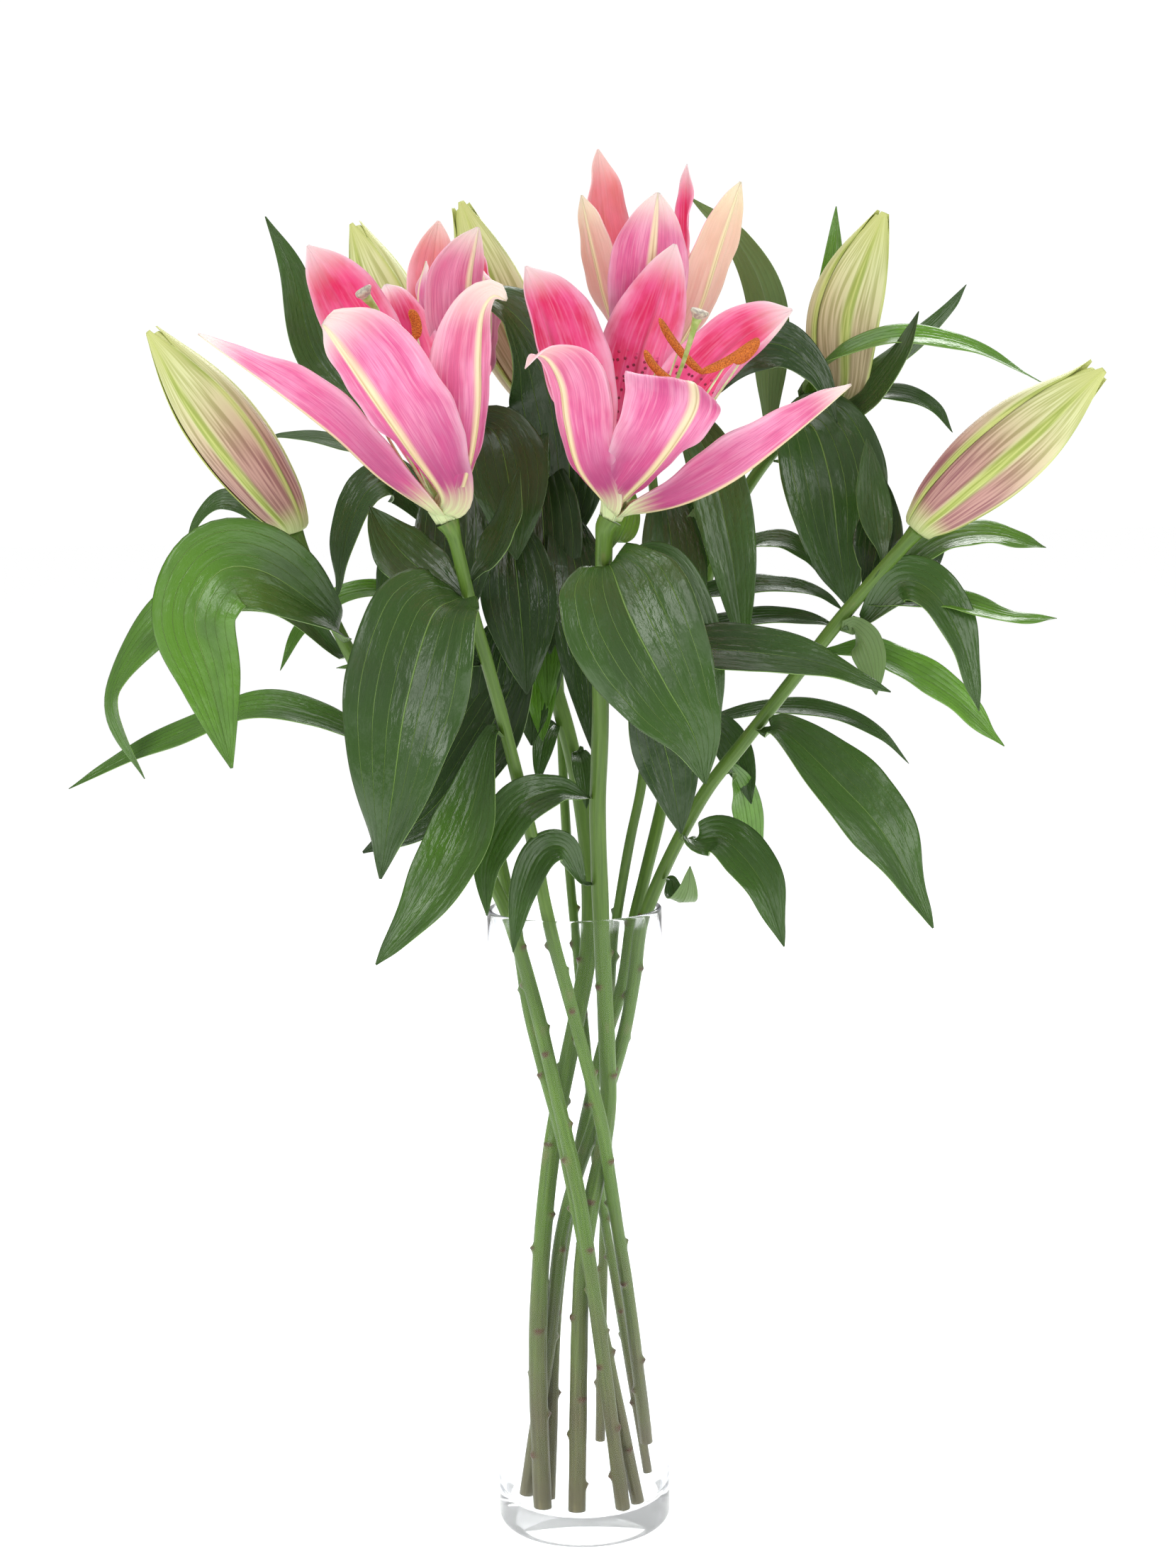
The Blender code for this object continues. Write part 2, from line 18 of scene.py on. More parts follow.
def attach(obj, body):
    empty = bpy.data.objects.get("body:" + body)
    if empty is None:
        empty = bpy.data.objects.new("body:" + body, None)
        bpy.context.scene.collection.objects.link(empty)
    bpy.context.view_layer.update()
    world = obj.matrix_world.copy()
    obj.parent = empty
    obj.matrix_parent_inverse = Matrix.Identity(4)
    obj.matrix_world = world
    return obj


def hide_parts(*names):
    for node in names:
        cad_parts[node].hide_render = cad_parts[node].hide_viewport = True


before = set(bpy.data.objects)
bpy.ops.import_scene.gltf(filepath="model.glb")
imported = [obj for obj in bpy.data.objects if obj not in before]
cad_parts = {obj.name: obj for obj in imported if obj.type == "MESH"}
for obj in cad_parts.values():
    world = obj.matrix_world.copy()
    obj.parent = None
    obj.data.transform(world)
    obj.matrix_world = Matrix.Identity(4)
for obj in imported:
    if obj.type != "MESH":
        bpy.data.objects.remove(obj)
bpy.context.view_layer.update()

MM = 0.001
print("CAD nodes:", len(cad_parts))

# %% [markdown]
# The bouquet is seen from about 1.4 m away, from a little above the middle, with a short telephoto lens.
# The camera also leans a hair to one side.  A quaternion holds the tilt, and a second one rolls the
# camera about its own viewing axis.

# %% Camera
EYE = Vector((8.3, -1361.0, 563.6)) * MM
LOOK_DOWN = math.radians(6.9)
ROLL = -0.017

camera = bpy.data.objects.new("camera", bpy.data.cameras.new("camera"))
bpy.context.scene.collection.objects.link(camera)
camera.data.lens = 60.22
camera.location = EYE
camera.rotation_mode = "QUATERNION"
tilt = Quaternion((1, 0, 0), math.pi / 2 - LOOK_DOWN)
camera.rotation_quaternion = tilt @ Quaternion((0, 0, 1), ROLL)
bpy.context.scene.camera = camera
print("camera stands", round(EYE.length, 2), "m from the foot of the vase")

# %% [markdown]
# Cut flowers are shown in bright, soft studio light on a pale floor.  The light from behind is the
# strongest, so that petals and leaf tips glow.  The sky is white, and dimmer for the light that the
# plants gather and mirror, which keeps the dark leaves deep green.

# %% Studio
SKY_SEEN = 1.05
SKY_FOR_LIGHTING = 0.50
SKY_FOR_GLOSS = 0.25


def add_softbox(name, place, aim, size, power):
    """A square studio light at a place, turned towards its aim."""
    lamp = bpy.data.lights.new(name, "AREA")
    lamp.size = size
    lamp.energy = power
    softbox = bpy.data.objects.new(name, lamp)
    softbox.location = place
    softbox.rotation_mode = "QUATERNION"
    softbox.rotation_quaternion = (Vector(aim) - Vector(place)).to_track_quat("-Z", "Y")
    bpy.context.scene.collection.objects.link(softbox)
    return softbox


def light_the_sky():
    """A white sky that lights the plants less than it shows."""
    sky = bpy.data.worlds.new("studio_sky")
    bpy.context.scene.world = sky
    sky.use_nodes = True
    tree = sky.node_tree
    background = tree.nodes["Background"]
    background.inputs["Color"].default_value = (1, 1, 1, 1)
    path = tree.nodes.new("ShaderNodeLightPath")
    dimmed = tree.nodes.new("ShaderNodeMix")
    dimmed.inputs["A"].default_value = SKY_SEEN
    dimmed.inputs["B"].default_value = SKY_FOR_LIGHTING
    tree.links.new(path.outputs["Diffuse Depth"], dimmed.inputs["Factor"])
    mirrored = tree.nodes.new("ShaderNodeMix")
    mirrored.inputs["B"].default_value = SKY_FOR_GLOSS
    tree.links.new(path.outputs["Is Glossy Ray"], mirrored.inputs["Factor"])
    tree.links.new(dimmed.outputs["Result"], mirrored.inputs["A"])
    tree.links.new(mirrored.outputs["Result"], background.inputs["Strength"])


light_the_sky()
add_softbox("softbox_left", (-1.3, -1.3, 1.5), (0, 0, 0.5), 1.0, 15)
add_softbox("softbox_right", (1.5, -0.9, 1.1), (0, 0, 0.5), 1.0, 9)
add_softbox("softbox_back", (0.5, 1.6, 1.5), (0, 0, 0.5), 1.2, 26)
add_softbox("softbox_top", (-0.1, 0.1, 2.1), (0, 0, 0.4), 1.4, 11)
bpy.context.scene.view_settings.view_transform = "Standard"

# %% [markdown]
# Materials are built from nodes.  Writing each node by hand takes many lines, so one helper makes a node,
# and sets each socket to a value or joins it to another node's output.  Sockets are named, or numbered
# with an underscore in front, because all inputs of a Math node share one name.

# %% Node helpers
def add_node(tree, kind, settings=None, **sockets):
    """A new node; each socket gets a value, or a link where an output is given."""
    node = tree.nodes.new(kind)
    for key, value in (settings or {}).items():
        setattr(node, key, value)
    for key, value in sockets.items():
        socket = node.inputs[int(key[1:])] if key[0] == "_" else node.inputs[key.replace("_", " ")]
        if isinstance(value, bpy.types.NodeSocket):
            tree.links.new(value, socket)
        else:
            socket.default_value = value
    return node


def compute(tree, operation, first, second=0.0, third=0.0):
    """One sum on numbers."""
    node = add_node(tree, "ShaderNodeMath", {"operation": operation}, _0=first, _1=second, _2=third)
    return node.outputs[0]


def fade(tree, value, start, end, low=0.0, high=1.0):
    """A smooth step: low at start, high at end."""
    return add_node(tree, "ShaderNodeMapRange", {"interpolation_type": "SMOOTHSTEP"}, Value=value,
                    From_Min=start, From_Max=end, To_Min=low, To_Max=high).outputs["Result"]


def tint(tree, share, first, second):
    """A mix of two colours, each a triple or another node's output."""
    paint = [c if isinstance(c, bpy.types.NodeSocket) else (*c, 1.0) for c in (first, second)]
    node = add_node(tree, "ShaderNodeMix", {"data_type": "RGBA"}, _0=share, _6=paint[0], _7=paint[1])
    return node.outputs[2]


def speckle(tree, vector, scale, stretch=(1, 1, 1), detail=3.0):
    """Soft noise from 0 to 1, drawn out along an axis where stretch is small there."""
    drawn = add_node(tree, "ShaderNodeVectorMath", {"operation": "MULTIPLY"}, _0=vector,
                     _1=stretch).outputs[0]
    return add_node(tree, "ShaderNodeTexNoise", {}, Vector=drawn, Scale=scale, Detail=detail).outputs["Fac"]


def start_finish(name, roughness, **sockets):
    """A new material and its Principled shader, with the values that are the same all over."""
    material = bpy.data.materials.new(name)
    material.use_nodes = True
    shader = material.node_tree.nodes["Principled BSDF"]
    shader.inputs["Roughness"].default_value = roughness
    for key, value in sockets.items():
        shader.inputs[key.replace("_", " ")].default_value = value
    return material, material.node_tree, shader


def raise_relief(tree, shader, height, depth):
    """Bump from a height in millimetres."""
    bump = add_node(tree, "ShaderNodeBump", {}, Height=height, Distance=depth * MM)
    tree.links.new(bump.outputs["Normal"], shader.inputs["Normal"])


# %% [markdown]
# Every thin piece carries two sets of numbers on its points.  "place" says how far across the blade a
# point is, from -1 to 1, how far along, from 0 to 1, and the blade's tone; on a leaf the tone carries
# painted shade and a painted backlight glow.  "flat" is the same point on the blade laid flat, in
# centimetres.  Patterns that belong to the edge or the tip read place, and spots and fibres read flat, so
# they keep their real size on wide and narrow blades alike.

# %% Read the numbers on a blade
def blade_numbers(tree):
    """(across, along, tone, flat) as node outputs."""
    place = add_node(tree, "ShaderNodeAttribute", {"attribute_name": "place"}).outputs["Vector"]
    parts = add_node(tree, "ShaderNodeSeparateXYZ", {}, Vector=place).outputs
    flat = add_node(tree, "ShaderNodeAttribute", {"attribute_name": "flat"}).outputs["Vector"]
    return parts["X"], parts["Y"], parts["Z"], flat


# %% [markdown]
# A lily leaf is dark and waxy above, with about seven pale veins that run from its base to its tip, and
# grey-green and duller below.  Young leaves are a lighter green, and thin tips let light through from
# behind and glow yellow-green; that glow is painted into the colour.  The tone number goes from 0 to 1:
# its low end is painted shade, for leaves deep in the bouquet, and its high end a painted backlight glow,
# both over the darker green of old leaves and the lighter green of young ones.

# %% Leaf finishes
LEAF_VEINS = 4.0  # on each half of the blade


def finish_leaf_top():
    """Waxy green with thin pale veins and slight blotches."""
    material, tree, shader = start_finish("leaf_top", 0.30, Specular_IOR_Level=0.6)
    across, along, tone, flat = blade_numbers(tree)
    blotch = speckle(tree, flat, 0.5, (1, 0.5, 1))
    fibre = speckle(tree, flat, 7.0, (1, 0.06, 1))
    # The tone mixes in painted shade at its low end and a painted backlight glow at its high end.
    green = tint(tree, fade(tree, tone, 0.0, 0.5), (0.014, 0.036, 0.009), (0.045, 0.110, 0.016))
    green = tint(tree, fade(tree, tone, 0.42, 1.0), green, (0.150, 0.370, 0.022))
    green = tint(tree, fade(tree, blotch, 0.40, 0.75, 0.0, 0.45), green, (0.018, 0.045, 0.010))
    green = tint(tree, compute(tree, "MULTIPLY", fibre, 0.22), green, (0.080, 0.170, 0.032))
    wave = compute(tree, "PINGPONG", compute(tree, "MULTIPLY", across, LEAF_VEINS), 0.5)
    width = compute(tree, "MULTIPLY_ADD", fibre, 0.03, 0.026)
    vein = fade(tree, wave, width, 0.0)
    midrib = fade(tree, compute(tree, "ABSOLUTE", across), 0.022, 0.0)
    vein = compute(tree, "MAXIMUM", compute(tree, "MULTIPLY", vein, 0.8),
                   compute(tree, "MULTIPLY", midrib, 0.9))
    green = tint(tree, vein, green, (0.210, 0.360, 0.080))
    tree.links.new(green, shader.inputs["Base Color"])
    gloss = fade(tree, blotch, 0.30, 0.75, 0.22, 0.42)
    tree.links.new(gloss, shader.inputs["Roughness"])
    pucker = speckle(tree, flat, 1.6, (1, 0.45, 1), 4.0)
    relief = compute(tree, "ADD", compute(tree, "MULTIPLY", vein, -0.8),
                     compute(tree, "MULTIPLY", fibre, 0.35))
    relief = compute(tree, "ADD", relief, compute(tree, "MULTIPLY", pucker, 2.2))
    raise_relief(tree, shader, relief, 0.6)
    return material


def finish_leaf_under():
    """Grey-green, with the veins standing out."""
    material, tree, shader = start_finish("leaf_under", 0.5)
    across, along, tone, flat = blade_numbers(tree)
    fibre = speckle(tree, flat, 5.0, (1, 0.06, 1))
    # Here too the tone mixes in painted shade at its low end and a painted backlight glow at its high end.
    green = tint(tree, tone, (0.070, 0.110, 0.045), (0.210, 0.400, 0.070))
    green = tint(tree, compute(tree, "MULTIPLY", fibre, 0.4), green, (0.130, 0.190, 0.090))
    wave = compute(tree, "PINGPONG", compute(tree, "MULTIPLY", across, LEAF_VEINS), 0.5)
    midrib = fade(tree, compute(tree, "ABSOLUTE", across), 0.04, 0.0)
    vein = compute(tree, "MAXIMUM", compute(tree, "MULTIPLY", fade(tree, wave, 0.04, 0.0), 0.6), midrib)
    green = tint(tree, compute(tree, "MULTIPLY", vein, 0.5), green, (0.240, 0.340, 0.140))
    tree.links.new(green, shader.inputs["Base Color"])
    raise_relief(tree, shader, compute(tree, "ADD", vein, fibre), 0.3)
    return material


LEAF_TOP = finish_leaf_top()
LEAF_UNDER = finish_leaf_under()

# %% [markdown]
# The inside of a lily petal is deep pink with a nearly white rim, a dark streak along the middle, a
# greenish white throat and dozens of small crimson warts on the lower half.  The outside is a paler,
# bluish pink with fine lines, a cream rib down the middle and green at both ends of it.  The warts are
# cells of a Voronoi texture: a cell shows one where the point is near its centre.

# %% Petal finishes
def finish_petal_inside():
    """Deep pink, white rim, crimson warts."""
    material, tree, shader = start_finish("petal_inside", 0.42, Subsurface_Weight=0.18,
                                          Subsurface_Scale=0.003)
    shader.inputs["Subsurface Radius"].default_value = (1.0, 0.35, 0.45)
    across, along, tone, flat = blade_numbers(tree)
    edge = compute(tree, "ABSOLUTE", across)
    fibre = speckle(tree, flat, 7.0, (1, 0.05, 1))
    cloud = speckle(tree, flat, 1.1, (1, 0.5, 1))
    pink = tint(tree, fade(tree, cloud, 0.35, 0.65), (0.74, 0.012, 0.12), (0.86, 0.08, 0.27))
    pink = tint(tree, fade(tree, fibre, 0.45, 0.70, 0.0, 0.45), pink, (0.90, 0.26, 0.45))
    rim = fade(tree, compute(tree, "ADD", edge, compute(tree, "MULTIPLY", cloud, 0.45)), 0.85, 1.35)
    pink = tint(tree, compute(tree, "MULTIPLY", rim, 0.75), pink, (0.93, 0.55, 0.70))
    pink = tint(tree, fade(tree, along, 0.84, 1.0, 0.0, 0.85), pink, (0.94, 0.78, 0.76))
    streak = compute(tree, "MULTIPLY", fade(tree, edge, 0.10, 0.0), fade(tree, along, 0.95, 0.55))
    pink = tint(tree, compute(tree, "MULTIPLY", streak, 0.75), pink, (0.42, 0.006, 0.050))
    pink = tint(tree, compute(tree, "MULTIPLY", fade(tree, tone, 0.0, 1.0), 0.75), pink, (0.95, 0.60, 0.46))
    pink = tint(tree, fade(tree, along, 0.45, 0.15, 0.0, 0.35), pink, (0.50, 0.010, 0.075))
    pink = tint(tree, fade(tree, along, 0.16, 0.05), pink, (0.62, 0.72, 0.36))
    cells = add_node(tree, "ShaderNodeTexVoronoi", {"voronoi_dimensions": "2D"}, Vector=flat, Scale=2.5,
                     Randomness=0.85).outputs["Distance"]
    reach = compute(tree, "MULTIPLY", fade(tree, along, 0.72, 0.46), fade(tree, edge, 0.98, 0.55))
    reach = compute(tree, "MULTIPLY", reach, fade(tree, along, 0.10, 0.24))
    wart = compute(tree, "MULTIPLY", fade(tree, cells, 0.21, 0.12), fade(tree, reach, 0.20, 0.45))
    pink = tint(tree, compute(tree, "MULTIPLY", wart, 0.9), pink, (0.16, 0.003, 0.022))
    tree.links.new(pink, shader.inputs["Base Color"])
    relief = compute(tree, "ADD", compute(tree, "MULTIPLY", fibre, 0.5), compute(tree, "MULTIPLY", wart, 1.6))
    raise_relief(tree, shader, relief, 0.5)
    return material


def finish_petal_outside():
    """Paler, bluish pink with a cream rib and green ends."""
    material, tree, shader = start_finish("petal_outside", 0.46, Subsurface_Weight=0.18,
                                          Subsurface_Scale=0.003)
    shader.inputs["Subsurface Radius"].default_value = (1.0, 0.4, 0.5)
    across, along, tone, flat = blade_numbers(tree)
    edge = compute(tree, "ABSOLUTE", across)
    fibre = speckle(tree, flat, 5.0, (1, 0.05, 1), 4.0)
    hair = speckle(tree, flat, 16.0, (1, 0.03, 1), 2.0)
    cloud = speckle(tree, flat, 0.7, (1, 0.45, 1))
    pink = tint(tree, fade(tree, cloud, 0.35, 0.65), (0.68, 0.085, 0.27), (0.83, 0.26, 0.46))
    pink = tint(tree, fade(tree, fibre, 0.46, 0.68, 0.0, 0.45), pink, (0.92, 0.46, 0.60))
    pink = tint(tree, fade(tree, hair, 0.45, 0.62, 0.0, 0.45), pink, (0.54, 0.05, 0.22))
    low = compute(tree, "MULTIPLY", fade(tree, along, 0.72, 0.22), fade(tree, cloud, 0.25, 0.60, 0.5, 1.0))
    pink = tint(tree, compute(tree, "MULTIPLY", low, 0.95), pink, (0.38, 0.035, 0.16))
    rim = fade(tree, compute(tree, "ADD", edge, compute(tree, "MULTIPLY", cloud, 0.35)), 0.90, 1.30)
    pink = tint(tree, compute(tree, "MULTIPLY", rim, 0.5), pink, (0.94, 0.66, 0.74))
    pink = tint(tree, fade(tree, along, 0.80, 1.0, 0.0, 0.85), pink, (0.95, 0.84, 0.74))
    pink = tint(tree, fade(tree, tone, 0.0, 1.0, 0.0, 0.9), pink, (0.88, 0.78, 0.42))
    rib = compute(tree, "MULTIPLY", fade(tree, edge, 0.15, 0.05), fade(tree, fibre, 0.25, 0.5, 0.7, 1.0))
    cream = tint(tree, fade(tree, along, 0.3, 0.9), (0.80, 0.70, 0.36), (0.92, 0.82, 0.50))
    pink = tint(tree, compute(tree, "MULTIPLY", rib, 0.85), pink, cream)
    groove = compute(tree, "MULTIPLY", fade(tree, edge, 0.035, 0.0), fade(tree, along, 0.98, 0.7))
    pink = tint(tree, compute(tree, "MULTIPLY", groove, 0.6), pink, (0.36, 0.26, 0.07))
    streaked = compute(tree, "ADD", along, compute(tree, "MULTIPLY", fibre, -0.16))
    pink = tint(tree, fade(tree, streaked, 0.16, -0.02), pink, (0.66, 0.74, 0.38))
    tree.links.new(pink, shader.inputs["Base Color"])
    raise_relief(tree, shader, compute(tree, "ADD", fibre, compute(tree, "MULTIPLY", rib, 0.8)), 0.6)
    return material


PETAL_INSIDE = finish_petal_inside()
PETAL_OUTSIDE = finish_petal_outside()

# %% [markdown]
# A closed lily bud is three narrow sepals folded edge to edge.  Each has a yellow-green rib down its
# back and yellow-green rims, and between them a panel that turns from cream to dusky pink as the bud
# ripens.  Here tone is that ripeness.

# %% Bud finish
def finish_bud():
    """Green ribs and rims round dusky pink panels."""
    material, tree, shader = start_finish("bud_skin", 0.5, Specular_IOR_Level=0.3)
    across, along, ripe, flat = blade_numbers(tree)
    edge = compute(tree, "ABSOLUTE", across)
    fibre = speckle(tree, flat, 6.0, (1, 0.04, 1), 1.5)
    fine = fade(tree, fibre, 0.38, 0.62)
    panel = tint(tree, fine, (0.46, 0.49, 0.18), (0.68, 0.70, 0.36))
    dusk = tint(tree, fine, (0.28, 0.080, 0.12), (0.52, 0.26, 0.25))
    low = compute(tree, "MULTIPLY", fade(tree, along, 0.80, 0.25), fade(tree, along, 0.02, 0.12))
    between = compute(tree, "MULTIPLY", fade(tree, edge, 0.06, 0.22), fade(tree, edge, 1.0, 0.72))
    amount = compute(tree, "MULTIPLY", compute(tree, "MULTIPLY", low, between), ripe)
    panel = tint(tree, amount, panel, dusk)
    green = tint(tree, fine, (0.30, 0.38, 0.06), (0.52, 0.58, 0.16))
    rib = compute(tree, "MAXIMUM", fade(tree, edge, 0.16, 0.05), fade(tree, edge, 0.78, 0.94))
    panel = tint(tree, compute(tree, "MULTIPLY", rib, 0.85), panel, green)
    panel = tint(tree, fade(tree, along, 0.72, 1.0, 0.0, 0.8), panel, (0.56, 0.60, 0.20))
    panel = tint(tree, fade(tree, along, 0.07, 0.0, 0.0, 0.8), panel, (0.52, 0.60, 0.28))
    tree.links.new(panel, shader.inputs["Base Color"])
    # The fibres crowd together towards the tip, so their relief dies away before it.
    raise_relief(tree, shader, compute(tree, "MULTIPLY", fibre, fade(tree, along, 0.70, 0.30)), 0.20)
    return material


BUD_SKIN = finish_bud()

# %% [markdown]
# A lily stem is round and green, browner towards its cut end, finely streaked, and dotted with the brown
# scars of the leaves that were stripped off.  On a stem "along" is the height above the table in
# decimetres and tone marks the scars.

# %% Stem and pistil finishes
def finish_stem():
    """Streaked green that turns olive-brown low down."""
    material, tree, shader = start_finish("stem_skin", 0.42)
    across, height, scar, flat = blade_numbers(tree)
    streak = speckle(tree, flat, 7.0, (1, 0.04, 1))
    blotch = speckle(tree, flat, 0.9, (1, 0.4, 1), 5.0)
    green = tint(tree, streak, (0.042, 0.100, 0.010), (0.160, 0.290, 0.035))
    brown = tint(tree, streak, (0.060, 0.055, 0.022), (0.170, 0.155, 0.065))
    worn = compute(tree, "ADD", height, compute(tree, "MULTIPLY", blotch, -1.6))
    skin = tint(tree, fade(tree, worn, 1.4, -0.6), green, brown)
    skin = tint(tree, fade(tree, blotch, 0.62, 0.72, 0.0, 0.5), skin, (0.230, 0.200, 0.090))
    skin = tint(tree, scar, skin, (0.110, 0.050, 0.022))
    tree.links.new(skin, shader.inputs["Base Color"])
    raise_relief(tree, shader, streak, 0.5)
    return material


def finish_plain(name, colours, roughness, scale, depth):
    """A small fleshy part: two colours mottled together, with a grain."""
    material, tree, shader = start_finish(name, roughness)
    place = add_node(tree, "ShaderNodeTexCoord").outputs["Object"]
    grain = speckle(tree, place, scale)
    tree.links.new(tint(tree, fade(tree, grain, 0.35, 0.65), *colours), shader.inputs["Base Color"])
    raise_relief(tree, shader, grain, depth)
    return material


STEM_SKIN = finish_stem()
STYLE_GREEN = finish_plain("style_green", ((0.28, 0.42, 0.08), (0.46, 0.58, 0.20)), 0.4, 300, 0.2)
STIGMA_GREY = finish_plain("stigma_grey", ((0.36, 0.30, 0.26), (0.62, 0.58, 0.44)), 0.5, 700, 0.6)
FILAMENT_GREEN = finish_plain("filament_green", ((0.55, 0.66, 0.28), (0.74, 0.80, 0.48)), 0.45, 300, 0.1)
POLLEN = finish_plain("pollen", ((0.42, 0.085, 0.010), (0.78, 0.22, 0.025)), 0.85, 1600, 0.8)
ANTHER_SEAM = finish_plain("anther_seam", ((0.80, 0.50, 0.22), (0.92, 0.72, 0.42)), 0.6, 900, 0.4)
print("finishes:", len(bpy.data.materials))

# %% [markdown]
# Clear glass bends light and hardly colours it, except where it is seen edge on.  Its index is set below
# real glass's, so that the mirrored pale floor doesn't veil the stems inside.  A lamp's light would need
# caustics to pass through the glass, so it becomes transparent to shadow rays.

# %% Glass finish
GLASS_INDEX = 1.18


def finish_glass():
    """Clear glass that lets the lamps through, a little greyer where it is seen edge on."""
    material, tree, shader = start_finish("clear_glass", 0.0, Transmission_Weight=1.0, IOR=GLASS_INDEX)
    facing = add_node(tree, "ShaderNodeLayerWeight", {}, Blend=0.5).outputs["Facing"]
    position = add_node(tree, "ShaderNodeNewGeometry").outputs["Position"]
    height = add_node(tree, "ShaderNodeSeparateXYZ", {}, _0=position).outputs["Z"]
    foot = fade(tree, height, 0.022, 0.014)
    lip = fade(tree, height, 0.326, 0.331)
    ends = compute(tree, "MAXIMUM", foot, lip)
    edge_on = compute(tree, "MULTIPLY", fade(tree, facing, 0.50, 0.85), compute(tree, "SUBTRACT", 1.0, ends))
    tree.links.new(tint(tree, edge_on, (0.98, 0.99, 1.0), (0.50, 0.55, 0.66)), shader.inputs["Base Color"])
    passing = add_node(tree, "ShaderNodeBsdfTransparent", {}, Color=(0.98, 0.99, 0.99, 1))
    # Lamps shine through.  The solid foot and the lip let part of the view straight through, because
    # on their own they would mirror the dim side of the studio and turn dark grey.
    is_shadow = add_node(tree, "ShaderNodeLightPath").outputs["Is Shadow Ray"]
    clear = compute(tree, "MAXIMUM", is_shadow, compute(tree, "MULTIPLY", ends, 0.18))
    both = add_node(tree, "ShaderNodeMixShader", {}, _0=clear, _1=shader.outputs[0], _2=passing.outputs[0])
    tree.links.new(both.outputs[0], tree.nodes["Material Output"].inputs["Surface"])
    return material


GLASS = finish_glass()

# %% [markdown]
# Everything in a bouquet follows a line: a stem its route, a leaf its midrib, a bud its axis.  A route is
# given by a few points in millimetres.  A smooth curve runs through them (Catmull-Rom), and is then cut
# into stretches of equal length, so that rings and rows are evenly spaced.

# %% Routes
def smooth_route(points, count):
    """count + 1 evenly spaced points on a smooth curve through the given ones."""
    knots = np.array(points, float)
    knots = np.vstack([2 * knots[0] - knots[1], knots, 2 * knots[-1] - knots[-2]])
    fine = []
    for a, b, c, d in zip(knots, knots[1:], knots[2:], knots[3:]):
        t = np.linspace(0, 1, 24, endpoint=False)[:, None]
        fine.append(0.5 * (2 * b + (c - a) * t + (2 * a - 5 * b + 4 * c - d) * t ** 2
                           + (3 * b - a - 3 * c + d) * t ** 3))
    fine = np.vstack(fine + [knots[-2:-1]])
    lengths = np.r_[0, np.cumsum(np.linalg.norm(np.diff(fine, axis=0), axis=1))]
    even = np.linspace(0, lengths[-1], count + 1)
    return np.stack([np.interp(even, lengths, fine[:, axis]) for axis in range(3)], 1)


def unit(vectors):
    """Vectors made one long."""
    vectors = np.asarray(vectors, float)
    return vectors / np.linalg.norm(vectors, axis=-1, keepdims=True)


def directions(route):
    """The way a route runs at each of its points."""
    return unit(np.gradient(route, axis=0))


def smooth_profile(stations, shares):
    """A smooth curve through (share, value) stations, read at each share."""
    x, y = np.array(stations, float).T
    slopes = np.gradient(y, x)
    spot = np.clip(np.searchsorted(x, shares, side="right") - 1, 0, len(x) - 2)
    wide = x[spot + 1] - x[spot]
    t = (shares - x[spot]) / wide
    bend = (2 * t ** 3 - 3 * t ** 2 + 1) * y[spot] + (-2 * t ** 3 + 3 * t ** 2) * y[spot + 1]
    return bend + wide * ((t ** 3 - 2 * t ** 2 + t) * slopes[spot] + (t ** 3 - t ** 2) * slopes[spot + 1])


# %% [markdown]
# A surface is a grid of points joined by four-sided faces.  An open grid makes a petal or a leaf.  One
# that closes on itself sideways makes a tube, with a lid on each end.

# %% Surfaces from rows of points
def make_skin(name, grid, place, flat, finishes, tube=False):
    """An object with one face between each four neighbouring points of a grid in millimetres."""
    rows, columns = grid.shape[:2]
    faces = []
    for row in range(rows - 1):
        for column in range(columns if tube else columns - 1):
            a = row * columns + column
            b = row * columns + (column + 1) % columns
            faces.append((a, b, b + columns, a + columns))
    if tube:
        faces.append(tuple(range(columns - 1, -1, -1)))
        faces.append(tuple((rows - 1) * columns + column for column in range(columns)))
    mesh = bpy.data.meshes.new(name)
    mesh.from_pydata((grid.reshape(-1, 3) * MM).tolist(), [], faces)
    for key, numbers in (("place", place), ("flat", flat)):
        layer = mesh.attributes.new(key, "FLOAT_VECTOR", "POINT")
        layer.data.foreach_set("vector", np.ascontiguousarray(numbers, np.float32).ravel())
    for finish in finishes:
        mesh.materials.append(finish)
    mesh.shade_smooth()
    piece = bpy.data.objects.new(name, mesh)
    bpy.context.scene.collection.objects.link(piece)
    return piece


def settle(piece, slot, *nodes):
    """The piece belongs to the bouquet's one body, and stands for its CAD nodes."""
    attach(piece, "root")
    if nodes:
        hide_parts(*nodes)
    return piece


# %% [markdown]
# A tube needs a ring round its route at every step.  The ring's own x axis is carried along the route
# without twisting: at each step it is only made square to the new direction again.

# %% Tubes
def carried_frames(route, first):
    """Two vectors square to the route at each point, the first as near to the given one as it can be."""
    along = directions(route)
    out = np.array(first, float)
    ones, twos = [], []
    for direction in along:
        out = unit(out - direction * out.dot(direction))
        ones.append(out)
        twos.append(np.cross(direction, out))
    return np.array(ones), np.array(twos)


